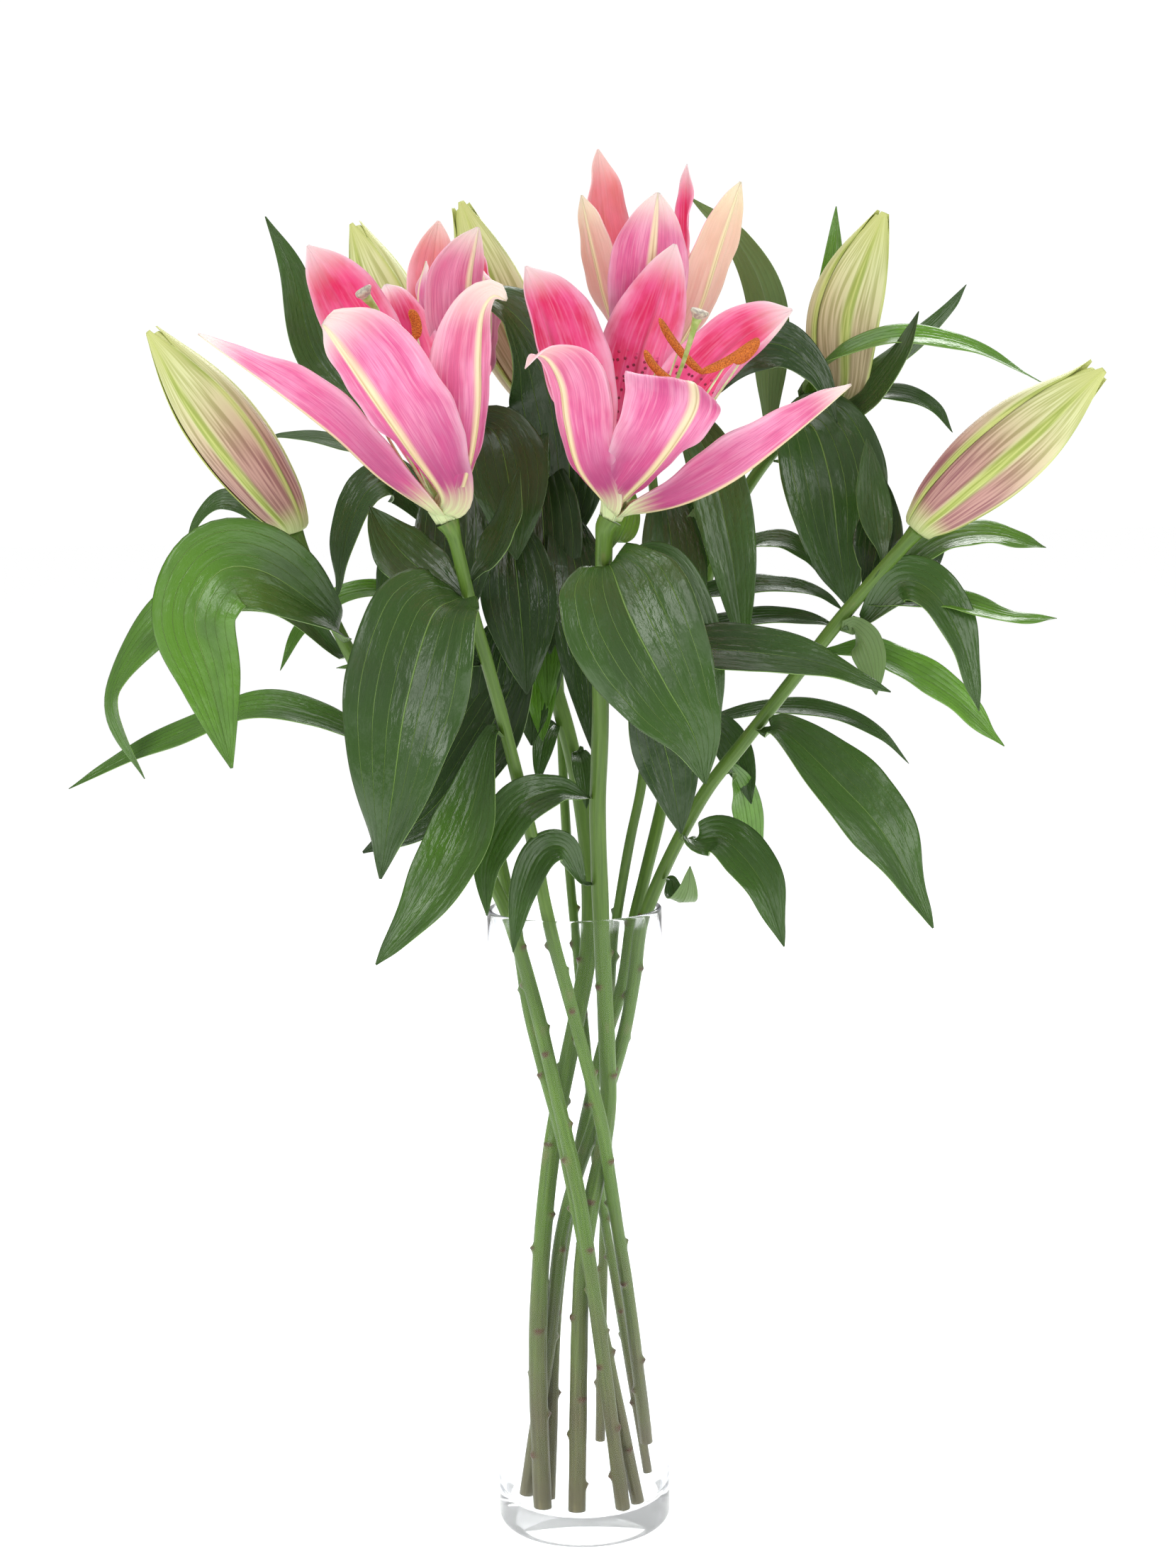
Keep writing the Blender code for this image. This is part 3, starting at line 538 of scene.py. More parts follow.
def make_tube(name, route, radii, finishes, sides=16, first=(1, 0.2, 0), tones=0.0, heights=None):
    """A tube whose radius is an array of (points along, sides) millimetres."""
    ones, twos = carried_frames(route, first)
    turns = np.linspace(0, 2 * math.pi, sides, endpoint=False)
    if np.ndim(radii) < 2:
        radii = np.outer(radii, np.ones(sides))
    radii = np.broadcast_to(radii, (len(route), sides))
    rings = ones[:, None] * np.cos(turns)[None, :, None] + twos[:, None] * np.sin(turns)[None, :, None]
    grid = route[:, None] + rings * radii[..., None]
    lengths = np.r_[0, np.cumsum(np.linalg.norm(np.diff(route, axis=0), axis=1))]
    shape = grid.shape[:2]
    up = np.broadcast_to((lengths if heights is None else heights)[:, None], shape)
    tone = np.broadcast_to(tones, shape)
    place = np.stack([np.broadcast_to(np.cos(turns), shape), up, tone], -1)
    flat = np.stack([radii * np.cos(turns) / 10, np.broadcast_to(lengths[:, None] / 10, shape),
                     radii * np.sin(turns) / 10], -1)
    return make_skin(name, grid, place, flat, finishes, tube=True)


# %% [markdown]
# The vase is a glass cylinder with a thick floor.  A lathe would turn it from one profile: up the outside
# with a rounded foot, over the fire-polished rim, down the inside and across the floor.  The ring count
# is high, because the rim and the outline of glass show every flat.

# %% Vase
VASE_RADIUS, VASE_WALL, VASE_HEIGHT, VASE_FLOOR = 46.0, 3.0, 334.0, 15.0
VASE_FOOT = 6.0


def vase_profile():
    """(radius, height) in millimetres, from the middle of the underside to the middle of the floor."""
    inside = VASE_RADIUS - VASE_WALL
    points = [(0.01, 0.0), (20, 0.0), (36, 0.0)]
    for turn in np.radians(range(0, 91, 15)):
        points.append((VASE_RADIUS - VASE_FOOT * (1 - math.sin(turn)), VASE_FOOT * (1 - math.cos(turn))))
    for height in range(16, 320, 8):
        points.append((VASE_RADIUS, height))
    lip = VASE_WALL / 2
    for turn in np.radians(range(0, 181, 20)):
        points.append((VASE_RADIUS - lip + lip * math.cos(turn), VASE_HEIGHT - lip + lip * math.sin(turn)))
    for height in range(320, 28, -8):
        points.append((inside, height))
    for turn in np.radians(range(0, 91, 15)):
        points.append((inside - 7 * (1 - math.cos(turn)), VASE_FLOOR + 7 * (1 - math.sin(turn))))
    points += [(24, VASE_FLOOR - 0.6), (0.01, VASE_FLOOR - 1.0)]
    return np.array(points)


def turn_vase():
    """The profile carried round the middle of the vase."""
    profile = vase_profile()
    turns = np.linspace(0, 2 * math.pi, 128, endpoint=False)
    radius, height = profile[:, :1], profile[:, 1:]
    grid = np.stack([radius * np.cos(turns), radius * np.sin(turns), height * np.ones(128)], -1)
    none = np.zeros_like(grid)
    vase = make_skin("glass_vase", grid, none, none, [GLASS], tube=True)
    return settle(vase, "glass", "vase")


turn_vase()
print("vase turned, wall", VASE_WALL, "mm")

# %% [markdown]
# The stems cross inside the vase.  Each was stripped of its lower leaves, which left small brown scars in
# a spiral: every new leaf of a lily grows about 137 degrees round from the last.  A scar is a bump in the
# stem's radius, so it belongs to the mesh and casts its own shadow.

# %% Stem routes
STEMS = {
    "left_bud_stem": (3.5, [(20, -33, 18), (5, -36, 151), (-6, -24, 216), (-34, -11, 330),
                            (-76, -12, 407), (-109, -20, 464), (-130, -25, 512), (-138, -28, 533)]),
    "green_bud_stem": (3.2, [(28, -24, 17), (8, -26, 127), (-1, -22, 175), (-9, -12, 215), (-24, 1, 274),
                             (-32, 14, 322), (-45, 25, 388), (-56, 35, 474), (-70, 45, 549),
                             (-79, 50, 602)]),
    "left_bloom_stem": (3.2, [(34, 4, 40), (26, -6, 117), (18, -14, 177), (12, -20, 223), (-4, -29, 294),
                              (-13, -37, 332), (-19, -42, 369), (-35, -56, 444), (-48, -75, 498),
                              (-57, -92, 538)]),
    "pale_bud_stem": (2.4, [(35, 17, 18), (18, 17, 130), (10, 19, 184), (5, 25, 253), (0, 33, 315),
                            (-4, 34, 374), (-7, 32, 474), (-12, 32, 548), (-15, 34, 592)]),
    "hidden_bloom_stem": (4.4, [(-22, -27, 16), (-23, -22, 104), (-18, -8, 176), (-9, 5, 233),
                                (-3, 10, 258), (8, 20, 320), (3, 25, 398), (-21, 15, 493),
                                (-40, 0, 557), (-52, -5, 589)]),
    "right_bloom_stem": (4.2, [(-4, -36, 18), (0, -19, 131), (7, -12, 181), (15, -8, 217), (16, -8, 252),
                               (15, -10, 293), (14, -14, 326), (13, -30, 390), (15, -42, 430),
                               (16, -60, 479), (21, -84, 518), (21, -92, 538)]),
    "top_bloom_stem": (2.5, [(9, 39, 28), (12, 36, 123), (16, 32, 204), (19, 26, 290), (22, 22, 320),
                             (29, 18, 361), (37, 15, 399), (45, 10, 474), (46, 10, 548), (42, 10, 593)]),
    "upper_bud_stem": (3.2, [(-19, -16, 17), (-14, -3, 114), (-7, 6, 161), (1, 12, 203), (14, 16, 255),
                             (26, 18, 292), (31, 17, 321), (48, 25, 386), (69, 40, 483), (79, 45, 520),
                             (106, 50, 565), (138, 50, 594)]),
    "right_bud_stem": (3.4, [(-31, -12, 18), (-17, -12, 104), (-7, -3, 171), (21, 2, 250), (31, 1, 295),
                             (36, -1, 326), (49, -5, 357), (69, -12, 395), (97, -22, 432),
                             (140, -40, 489), (174, -50, 529)]),
}

BLOOM_FACES = {"left_bloom": (-0.33, -0.15, 0.93), "right_bloom": (0.3, -0.25, 0.9),
               "top_bloom": (0.03, 0.03, 1.0), "hidden_bloom": (-0.05, 0.0, 1.0)}


def stem_line(name):
    """The middle line of a stem, straight along the last stretch under a bloom."""
    route = smooth_route(STEMS[name][1], 20)
    faces = BLOOM_FACES.get(name.removesuffix("_stem"))
    if faces:
        route[-2] = route[-1] - 9 * unit(faces)
    return route


# %% Stems
SCAR_EVERY = 19.0  # millimetres of stem between two leaf scars
SCAR_TURN = math.radians(137.5)
SCAR_TOP = 330.0   # the height up to which leaves were stripped off
SCAR_BUMP = 1.9
STEM_TOP_RADIUS = 4.6
NECK_RADIUS = 5.9


def lengths_along(route):
    """The length of the route up to each of its points."""
    return np.r_[0, np.cumsum(np.linalg.norm(np.diff(route, axis=0), axis=1))]


def scars_on(route, sides, dice):
    """How far each point of a stem's skin stands out in a leaf scar, from 0 to 1."""
    lengths = lengths_along(route)
    turns = np.linspace(0, 2 * math.pi, sides, endpoint=False)
    out = np.zeros((len(route), sides))
    at, turn = dice.uniform(8, 20), dice.uniform(0, 6)
    while at < lengths[-1] and np.interp(at, lengths, route[:, 2]) < SCAR_TOP:
        near = np.cos(turns - turn).clip(0) ** 6
        step = lengths - at
        height = np.exp(-(step / np.where(step < 0, 2.2, 0.9)) ** 2)
        out = np.maximum(out, height[:, None] * near)
        at += SCAR_EVERY * dice.uniform(0.7, 1.4)
        turn += SCAR_TURN
    return out


def grow_stem(name):
    """A stem with its scars, a slight unevenness and a swollen top."""
    dice = random.Random(name)
    route = smooth_route(stem_line(name), 380)
    sides = 20
    radius = STEMS[name][0]
    share = np.linspace(0, 1, len(route))
    top = NECK_RADIUS if name.removesuffix("_stem") in BLOOM_FACES else STEM_TOP_RADIUS
    body = radius * (1 + 0.10 * (1 - share)) + (top - radius) * np.clip((share - 0.975) / 0.025, 0, 1) ** 2
    body = body * (1 + 0.03 * np.sin(share * 60 + dice.uniform(0, 6)) * np.sin(share * 23))
    scars = scars_on(route, sides, dice)
    stem = make_tube(name + "_fine", route, body[:, None] + SCAR_BUMP * scars, [STEM_SKIN], sides,
                     tones=np.clip(scars * 1.4, 0, 1) ** 2, heights=route[:, 2] / 100)
    return settle(stem, "stem", name)


for stem_name in STEMS:
    grow_stem(stem_name)
print("stems:", len(STEMS))

# %% [markdown]
# Leaves and petals are blades: a skin that spreads to both sides of a midrib.  Across each half the skin
# starts out at some angle and turns on the way to its edge.  cup is how far it first folds up, and roll
# how far its margin then curls in (above 0) or rolls back (below 0), both in radians at the root, the
# middle and the tip.  Adding up short steps in that heading keeps the true width, however far it curls.
# The margin also ripples (ruffle), and veins are shallow pleats.  Solidify gives the blade its thickness
# and the second finish on its underside.

# %% Blades
def ease(value, start, end):
    """A smooth step from 0 at start to 1 at end."""
    t = np.clip((value - start) / (end - start), 0, 1)
    return t * t * (3 - 2 * t)


def half_section(half, cup, roll, share, steps):
    """How far out and up from the midrib each point of one half lies, in millimetres."""
    x = (np.arange(steps) + 0.5)[None] / steps
    cup_here = np.interp(share, (0, 0.5, 1), cup)[:, None]
    roll_here = np.interp(share, (0.25, 0.65, 1), roll)[:, None]
    heading = cup_here * ease(x, -0.15, 0.5) + roll_here * ease(x, 0.5, 1.0)
    stride = half[:, None] / steps
    start = np.zeros((len(share), 1))
    return (np.hstack([start, np.cumsum(np.cos(heading) * stride, 1)]),
            np.hstack([start, np.cumsum(np.sin(heading) * stride, 1)]))


def blade_axes(route, start, faces, hold):
    """The direction along, the side and the upper face of a blade at each row."""
    share = np.linspace(0, 1, len(route))
    along = directions(route)
    blend = np.clip(1 - share / 0.06, 0, 1)[:, None]
    along = unit(along * (1 - blend) + unit(start) * blend)
    turn = np.clip(2 * share, 0, 1)[:, None]
    face = unit(faces[0]) * (1 - turn) + unit(faces[1]) * turn
    side = unit(np.cross(along, face))
    kept = int(hold * (len(route) - 1))
    for row in range(kept + 1, len(route)):  # past the hold share the blade curls without twisting
        side[row] = side[row - 1] - along[row] * side[row - 1].dot(along[row])
    side = unit(side)
    return along, side, np.cross(side, along)


def lay_blade(name, route, start, faces, halves, finishes, tones, cups=((0.2, 0.2, 0.2),) * 2,
              rolls=((0, 0, 0),) * 2, ruffle=0.0, ruffles=3.0, pleats=4.0, pleat=0.15, steps=14,
              thick=0.6, hold=1.0):
    """A leaf or a petal along a route; halves, cups and rolls are given for both sides of the midrib."""
    dice = random.Random(name)
    share = np.linspace(0, 1, len(route))
    along, side, face = blade_axes(route, start, faces, hold)
    sections = [half_section(half, cup, roll, share, steps) for half, cup, roll in zip(halves, cups, rolls)]
    out = np.hstack([-sections[0][0][:, :0:-1], sections[1][0]])
    lift = np.hstack([sections[0][1][:, :0:-1], sections[1][1]])
    across = np.linspace(-1, 1, 2 * steps + 1)
    half = np.where(across < 0, halves[0][:, None], halves[1][:, None])
    edge = np.abs(across)
    envelope = ease(share, 0.1, 0.4) * ease(share, 1.0, 0.88)
    for sign in (-1, 1):
        phase = dice.uniform(0, 6.28)
        wave = np.sin(6.283 * ruffles * share + phase) + 0.45 * np.sin(14.45 * ruffles * share + 2 * phase)
        lift = lift + np.where(sign * across > 0, (ruffle * wave * envelope)[:, None] * edge ** 2.2, 0)
    lift = lift - pleat * np.cos(6.283 * pleats * across) * np.clip(half / 12, 0, 1) * (edge < 0.95)
    lift = lift - 2 * pleat * np.exp(-(across / 0.06) ** 2)
    grid = route[:, None] + side[:, None] * out[..., None] + face[:, None] * lift[..., None]
    shape = grid.shape[:2]
    tone = np.interp(share, np.linspace(0, 1, len(tones)), tones)[:, None]
    place = np.stack(np.broadcast_arrays(across[None], share[:, None], tone), -1)
    veined = 0.7 * half.max(0) + 0.3 * half  # veins draw together where the blade narrows
    flat = np.stack(np.broadcast_arrays(veined * across / 10 + dice.uniform(0, 40),
                                        lengths_along(route)[:, None] / 10, 0.0), -1)
    blade = make_skin(name, grid, place, flat, finishes)
    shell = blade.modifiers.new("thickness", "SOLIDIFY")
    shell.thickness = thick * MM
    shell.thickness_clamp = 1.0  # no thicker than the thin ends can hold
    shell.offset = 0.0
    shell.material_offset = 1
    return blade


# %% [markdown]
# A bloom has three outer sepals and three wider inner petals.  All six stand in one ring round the green
# ovary: together they make the trumpet's throat, and further out they part and bend back.

# %% Bloom shapes
PETAL_ROWS = 64
PETAL_RING = 5.2
WHOLE = ((0.0, 0.22), (0.07, 0.32), (0.16, 0.48), (0.26, 0.64), (0.38, 0.81), (0.52, 0.95),
         (0.64, 1.0), (0.76, 0.92), (0.87, 0.66), (0.95, 0.34), (1.0, 0.05))
SHOULDERED = ((0.0, 0.20), (0.07, 0.30), (0.16, 0.46), (0.28, 0.64), (0.42, 0.82), (0.58, 0.96),
              (0.72, 1.0), (0.84, 0.86), (0.93, 0.52), (1.0, 0.04))
FOLDED_OVER = ((0.0, 0.16), (0.07, 0.24), (0.16, 0.38), (0.34, 0.60), (0.54, 0.82), (0.70, 0.98),
               (0.82, 1.0), (0.91, 0.72), (0.97, 0.35), (1.0, 0.05))
FULL = ((0.0, 0.20), (0.07, 0.30), (0.16, 0.50), (0.28, 0.74), (0.40, 0.92), (0.54, 1.0),
        (0.68, 0.88), (0.80, 0.64), (0.90, 0.38), (0.96, 0.20), (1.0, 0.05))
SOFT = ((0.9, 0.35, 0.2),) * 2
ROLLED_BACK = ((0, -0.45, -0.6),) * 2
PLAIN = ((0, -0.15, -0.2),) * 2

# The way each bloom faces, its pistil, and its sepals and petals: the compass angle of the root, the
# greatest half widths on both sides, their outline, the way the inner side faces at the tip, tones of
# green, cups, rolls, the share from which the tip only curls, and the midrib after the root.
BLOOMS = {
    "left_bloom": {
        "pistil": [(-77, -116, 598), (-84, -124, 632), (-91, -128, 644)],
        "blades": {
            "sepal_left": (180, (25, 23), FULL, (0.38, 0.05, 0.9), (0, 0, 0.15),
                           ((1.0, 1.1, 0.8), (0.9, 0.9, 0.6)), ((0, -0.1, -0.5), (0, -0.5, -0.6)), 1,
                           [(-67, -100, 545), (-88, -108, 560), (-109, -110, 580), (-139, -106, 604),
                            (-173, -100, 629)]),
            "petal_front": (240, (35, 15), SHOULDERED, (0.45, 0.85, 0.2), (0, 0, 0.05),
                            ((0.7, 0.25, 0.15), (0.9, 0.6, 0.5)), PLAIN, 0.9,
                            [(-59, -108, 551), (-71, -130, 571), (-86, -146, 595), (-98, -152, 614),
                             (-107, -149, 627), (-110, -144, 630)]),
            "sepal_front": (300, (8, 25), WHOLE, (-0.5, 0.85, 0.1), (0, 0, 0.3),
                            ((0.9, 0.6, 0.4), (0.8, 0.3, 0.5)), PLAIN, 0.8,
                            [(-50, -108, 551), (-43, -126, 570), (-39, -138, 593), (-38, -146, 615),
                             (-36, -150, 633), (-31, -151, 641), (-25, -150, 639)]),
            "petal_right": (0, (20, 20), WHOLE, (-0.9, -0.2, 0.3), (0, 0, 0), SOFT, PLAIN, 1,
                            [(-51, -88, 549), (-43, -78, 571), (-39, -68, 598), (-43, -58, 623)]),
            "sepal_back": (60, (18, 18), WHOLE, (-0.1, -0.95, 0.2), (0, 0, 0.1), SOFT, ROLLED_BACK, 1,
                           [(-57, -80, 550), (-67, -60, 585), (-77, -45, 620), (-85, -38, 645),
                            (-89, -25, 656)]),
            "petal_back": (120, (15, 22), SHOULDERED, (0.2, -0.95, 0.2), (0, 0, 0), SOFT,
                           ((0, -0.3, -0.5), (0, -0.6, -0.6)), 1,
                           [(-62, -82, 551), (-79, -68, 585), (-96, -60, 620), (-110, -61, 647),
                            (-123, -70, 672)]),
        },
    },
    "right_bloom": {
        "pistil": [(45, -112, 586), (55, -118, 608), (63, -124, 632)],
        "blades": {
            "sepal_front": (225, (24, 8), WHOLE, (0.5, 0.85, 0.15), (0, 0, 0.25),
                            ((0.8, 0.3, 0.3), (0.9, 0.6, 0.5)), PLAIN, 0.75,
                            [(17, -108, 548), (6, -125, 563), (1, -138, 583), (-1, -145, 600),
                             (-6, -150, 611), (-12, -157, 614), (-17, -160, 608)]),
            "petal_front": (285, (17, 36), FOLDED_OVER, (-0.45, 0.85, 0.25), (0, 0, 0),
                            ((0.9, 0.45, 0.2), (0.7, 0.25, 0.15)), PLAIN, 0.66,
                            [(28, -110, 548), (41, -130, 561), (53, -146, 577), (60, -152, 590),
                             (60, -147, 600), (56, -139, 600), (51, -134, 592)]),
            "sepal_right": (345, (20, 24), FULL, (-0.35, 0.10, 0.9), (0, 0, 0.15),
                            ((1.0, 1.0, 0.7), (1.1, 1.2, 0.9)), ((0, -0.5, -0.6), (0, -0.1, -0.4)), 1,
                            [(33, -100, 541), (55, -108, 545), (78, -112, 555), (102, -108, 572),
                             (137, -98, 600)]),
            "petal_left": (165, (13, 27), SHOULDERED, (0.35, -0.9, 0.15), (0, 0, 0),
                           ((0.9, 0.4, 0.3), (0.9, 0.35, 0.2)), ((0, 0.9, 1.2), (0, -0.4, -0.6)), 1,
                           [(16, -84, 553), (6, -74, 584), (-4, -68, 618), (-11, -66, 642),
                            (-18, -62, 661)]),
            "sepal_back": (105, (21, 18), WHOLE, (-0.1, -0.95, 0.2), (0, 0, 0.05), SOFT, ROLLED_BACK, 1,
                           [(24, -76, 552), (30, -54, 583), (37, -45, 615), (47, -42, 643),
                            (56, -42, 672)]),
            "petal_right": (45, (20, 26), SHOULDERED, (-0.3, -0.85, 0.45), (0, 0, 0),
                            ((0.9, 0.35, 0.2), (0.9, 0.4, 0.3)), ((0, -0.6, -0.6), (0, 1.6, 1.6)), 1,
                            [(30, -82, 552), (48, -68, 580), (68, -60, 607), (89, -58, 626),
                             (112, -62, 638)]),
        },
    },
    "top_bloom": {
        "pistil": [(44, 8, 640), (44, 6, 667)],
        "blades": {
            "sepal_left": (200, (15, 15), WHOLE, (0.8, 0.6, 0.1), (0.3, 0.45, 0.6), SOFT, PLAIN, 1,
                           [(35, 0, 613), (23, -12, 641), (16, -18, 669), (10, -18, 699)]),
            "petal_front": (260, (21, 21), WHOLE, (-0.2, 0.97, 0.0), (0, 0, 0.1), SOFT, PLAIN, 1,
                            [(40, -10, 616), (42, -30, 643), (45, -36, 671), (48, -34, 698)]),
            "sepal_right": (320, (16, 16), WHOLE, (-0.7, 0.7, 0.1), (0.3, 0.5, 0.7), SOFT, PLAIN, 1,
                            [(52, 0, 613), (68, -12, 640), (79, -18, 672), (90, -20, 704)]),
            "petal_right": (20, (17, 17), WHOLE, (-0.95, -0.3, 0.0), (0, 0, 0), SOFT, PLAIN, 1,
                            [(51, 16, 617), (60, 24, 650), (64, 26, 683), (65, 24, 718)]),
            "sepal_back": (80, (14, 14), WHOLE, (0.0, -1.0, 0.0), (0.4, 0.6, 0.8), SOFT, PLAIN, 1,
                           [(46, 28, 617), (52, 50, 648), (56, 58, 678), (57, 56, 699)]),
            "petal_left": (140, (17, 17), WHOLE, (0.7, -0.7, 0.0), (0.1, 0.3, 0.7), SOFT, PLAIN, 1,
                           [(36, 19, 617), (28, 31, 651), (22, 34, 688), (19, 30, 727)]),
        },
    },
    "hidden_bloom": {
        "pistil": [(-55, -2, 632), (-56, 0, 650)],
        "blades": {
            "petal_left": (190, (15, 15), WHOLE, (0.9, 0.3, 0.2), (0, 0, 0), SOFT, PLAIN, 1,
                           [(-59, -10, 603), (-69, -18, 628), (-73, -18, 649), (-69, -14, 668)]),
            "sepal_front": (250, (10, 24), WHOLE, (-0.6, 0.8, 0.0), (0, 0.05, 0.2), SOFT, PLAIN, 1,
                            [(-47, -20, 603), (-46, -36, 627), (-46, -42, 655), (-41, -40, 682)]),
            "petal_right": (310, (15, 15), WHOLE, (-0.8, 0.5, 0.0), (0, 0, 0), SOFT, PLAIN, 1,
                            [(-43, -10, 603), (-38, -14, 628), (-38, -12, 649), (-43, -10, 667)]),
            "sepal_right": (10, (10, 10), WHOLE, (-0.9, -0.3, 0.0), (0.1, 0.1, 0.3), SOFT, PLAIN, 1,
                            [(-44, 3, 604), (-38, 7, 633), (-38, 8, 658), (-44, 8, 678)]),
            "petal_back": (70, (9, 9), WHOLE, (-0.2, -0.95, 0.0), (0, 0, 0), SOFT, PLAIN, 1,
                           [(-49, 11, 604), (-47, 22, 634), (-48, 24, 659), (-52, 20, 678)]),
            "sepal_back": (130, (15, 15), WHOLE, (0.3, -0.95, 0.0), (0.1, 0.3, 0.7), SOFT, PLAIN, 1,
                           [(-58, 8, 604), (-66, 18, 634), (-68, 22, 663), (-64, 20, 691)]),
        },
    },
}


def bloom_axes(bloom):
    """The bloom's axis, and the two directions square to it that its compass angles turn in."""
    axis = unit(BLOOM_FACES[bloom])
    right = unit(np.array((1, 0, 0)) - axis * axis[0])
    return axis, right, np.cross(axis, right)


# %% Petals and sepals
def open_petal(bloom, blade):
    """One sepal or petal of a bloom."""
    angle, widths, outline, tip_face, tones, cups, rolls, hold, points = BLOOMS[bloom]["blades"][blade]
    axis, right, back = bloom_axes(bloom)
    outward = right * math.cos(math.radians(angle)) + back * math.sin(math.radians(angle))
    root = np.array(STEMS[bloom + "_stem"][1][-1]) + outward * PETAL_RING + axis
    route = smooth_route([root, root + outward * 1.5 + axis * 7] + points, PETAL_ROWS)
    shape = smooth_profile(outline, np.linspace(0, 1, PETAL_ROWS + 1))
    wide = blade.startswith("petal")
    petal = lay_blade(f"{bloom}_{blade}_fine", route, axis, (-outward, tip_face), [w * shape for w in widths],
                      [PETAL_INSIDE, PETAL_OUTSIDE], tones, cups, rolls, ruffle=1.6 if wide else 0.8,
                      ruffles=2.4, pleats=3.0, pleat=0.12, steps=16, thick=0.6, hold=hold)
    return settle(petal, "petal", f"{bloom}_{blade}")


for bloom_name, bloom in BLOOMS.items():
    for blade_name in bloom["blades"]:
        open_petal(bloom_name, blade_name)
print("petals and sepals:", sum(len(bloom["blades"]) for bloom in BLOOMS.values()))

# %% [markdown]
# In the middle of a bloom stands the pistil: a green ovary, a long style that leans towards the light and
# a three-lobed sticky stigma.  Round it six pale green filaments each balance a long anther on their tip,
# like a hammer's head.  A ripe anther splits lengthwise and shows its rusty pollen.

# %% Pistils
OVARY_RADIUS, OVARY_LENGTH, STYLE_RADIUS, STIGMA_RADIUS = 2.2, 25.0, 1.6, 4.2
STIGMA_OUTLINE = ((0, 0.45), (0.35, 0.75), (0.75, 1.0), (0.92, 0.8), (1, 0.35))


def grow_pistil(bloom):
    """Ovary and style, and a stigma with three lobes."""
    axis, right, back = bloom_axes(bloom)
    base = np.array(STEMS[bloom + "_stem"][1][-1], float)
    route = smooth_route([base + axis * 0.5, base + axis * OVARY_LENGTH] + BLOOMS[bloom]["pistil"], 60)
    share = np.linspace(0, 1, 61)
    radii = smooth_profile(((0, 2.6), (0.15, OVARY_RADIUS), (0.3, 1.9), (0.42, STYLE_RADIUS * 0.85),
                            (0.88, STYLE_RADIUS * 0.8), (0.95, STYLE_RADIUS), (1, 2.6)), share)
    style = make_tube(bloom + "_style", route, radii, [STYLE_GREEN], 16)
    settle(style, "stem")
    top, lean = route[-1], directions(route)[-1]
    share = np.linspace(0, 1, 14)
    head = top + lean * np.linspace(-1.5, 3.6, 14)[:, None]
    turns = np.linspace(0, 2 * math.pi, 30, endpoint=False)
    lobes = 1 + 0.20 * np.cos(3 * turns) * share[:, None]
    dome = STIGMA_RADIUS * smooth_profile(STIGMA_OUTLINE, share)
    stigma = make_tube(bloom + "_stigma", head, dome[:, None] * lobes, [STIGMA_GREY], 30)
    settle(stigma, "stem")


for bloom_name in BLOOMS:
    grow_pistil(bloom_name)

# %% Stamens
# The lower and upper end of each anther, in the order of the filaments round the ovary.
ANTHERS = {
    "left_bloom": [((-66, -114, 604), (-66, -116, 616)), ((-69, -100, 626), (-71, -100, 638)),
                   ((-92, -108, 622), (-98, -108, 634)), ((-95, -116, 605), (-101, -116, 616)),
                   ((-86, -130, 600), (-90, -133, 611)), ((-73, -127, 600), (-74, -130, 612))],
    "right_bloom": [((82, -108, 611), (92, -106, 621)), ((64, -108, 607), (46, -108, 630)),
                    ((36, -100, 588), (34, -98, 600)), ((50, -127, 602), (38, -129, 615)),
                    ((52, -138, 580), (54, -142, 590)), ((66, -130, 606), (89, -129, 619))],
    "top_bloom": [((52, 4, 640), (55, 3, 651)), ((50, 18, 644), (52, 20, 655)),
                  ((38, 20, 645), (35, 22, 656)), ((32, 4, 648), (26, 2, 658)),
                  ((38, -6, 640), (37, -9, 651)), ((46, -8, 638), (48, -11, 649))],
    "hidden_bloom": [((-50, 0, 632), (-47, 2, 643)), ((-50, 8, 634), (-49, 11, 645)),
                     ((-58, 9, 634), (-60, 12, 645)), ((-63, -2, 632), (-68, -3, 643)),
                     ((-60, -9, 634), (-62, -12, 645)), ((-52, -9, 632), (-51, -12, 643))],
}
FILAMENT_RING, FILAMENT_RADIUS = 3.3, 0.75
ANTHER_RADIUS = 2.4


def grow_anther(name, low, high, axis):
    """Two long pollen sacs side by side, with a seam between them."""
    middle, half = (low + high) / 2, (high - low) / 2
    bow = unit(np.cross(half, np.cross(axis, half)))
    step = np.linspace(-1.15, 1.15, 26)
    route = middle + half * step[:, None] + bow * (1.6 * step ** 2 - 0.8)[:, None]
    body = np.sqrt(np.clip(1 - (step / 1.16) ** 4, 0.02, 1))
    turns = np.linspace(0, 2 * math.pi, 20, endpoint=False)
    waist = 1 - 0.30 * np.exp(-((turns - math.pi / 2) / 0.35) ** 2) - 0.30 * np.exp(
        -((turns - 3 * math.pi / 2) / 0.35) ** 2)
    oval = waist * (1 + 0.28 * np.cos(2 * turns))
    anther = make_tube(name, route, ANTHER_RADIUS * body[:, None] * oval, [POLLEN], 20,
                       first=np.cross(bow, half))
    settle(anther, "pollen")
    seam = make_tube(name + "_seam", route[3:-3] - bow * 1.35, 0.75 * body[3:-3], [ANTHER_SEAM], 8)
    settle(seam, "pollen")


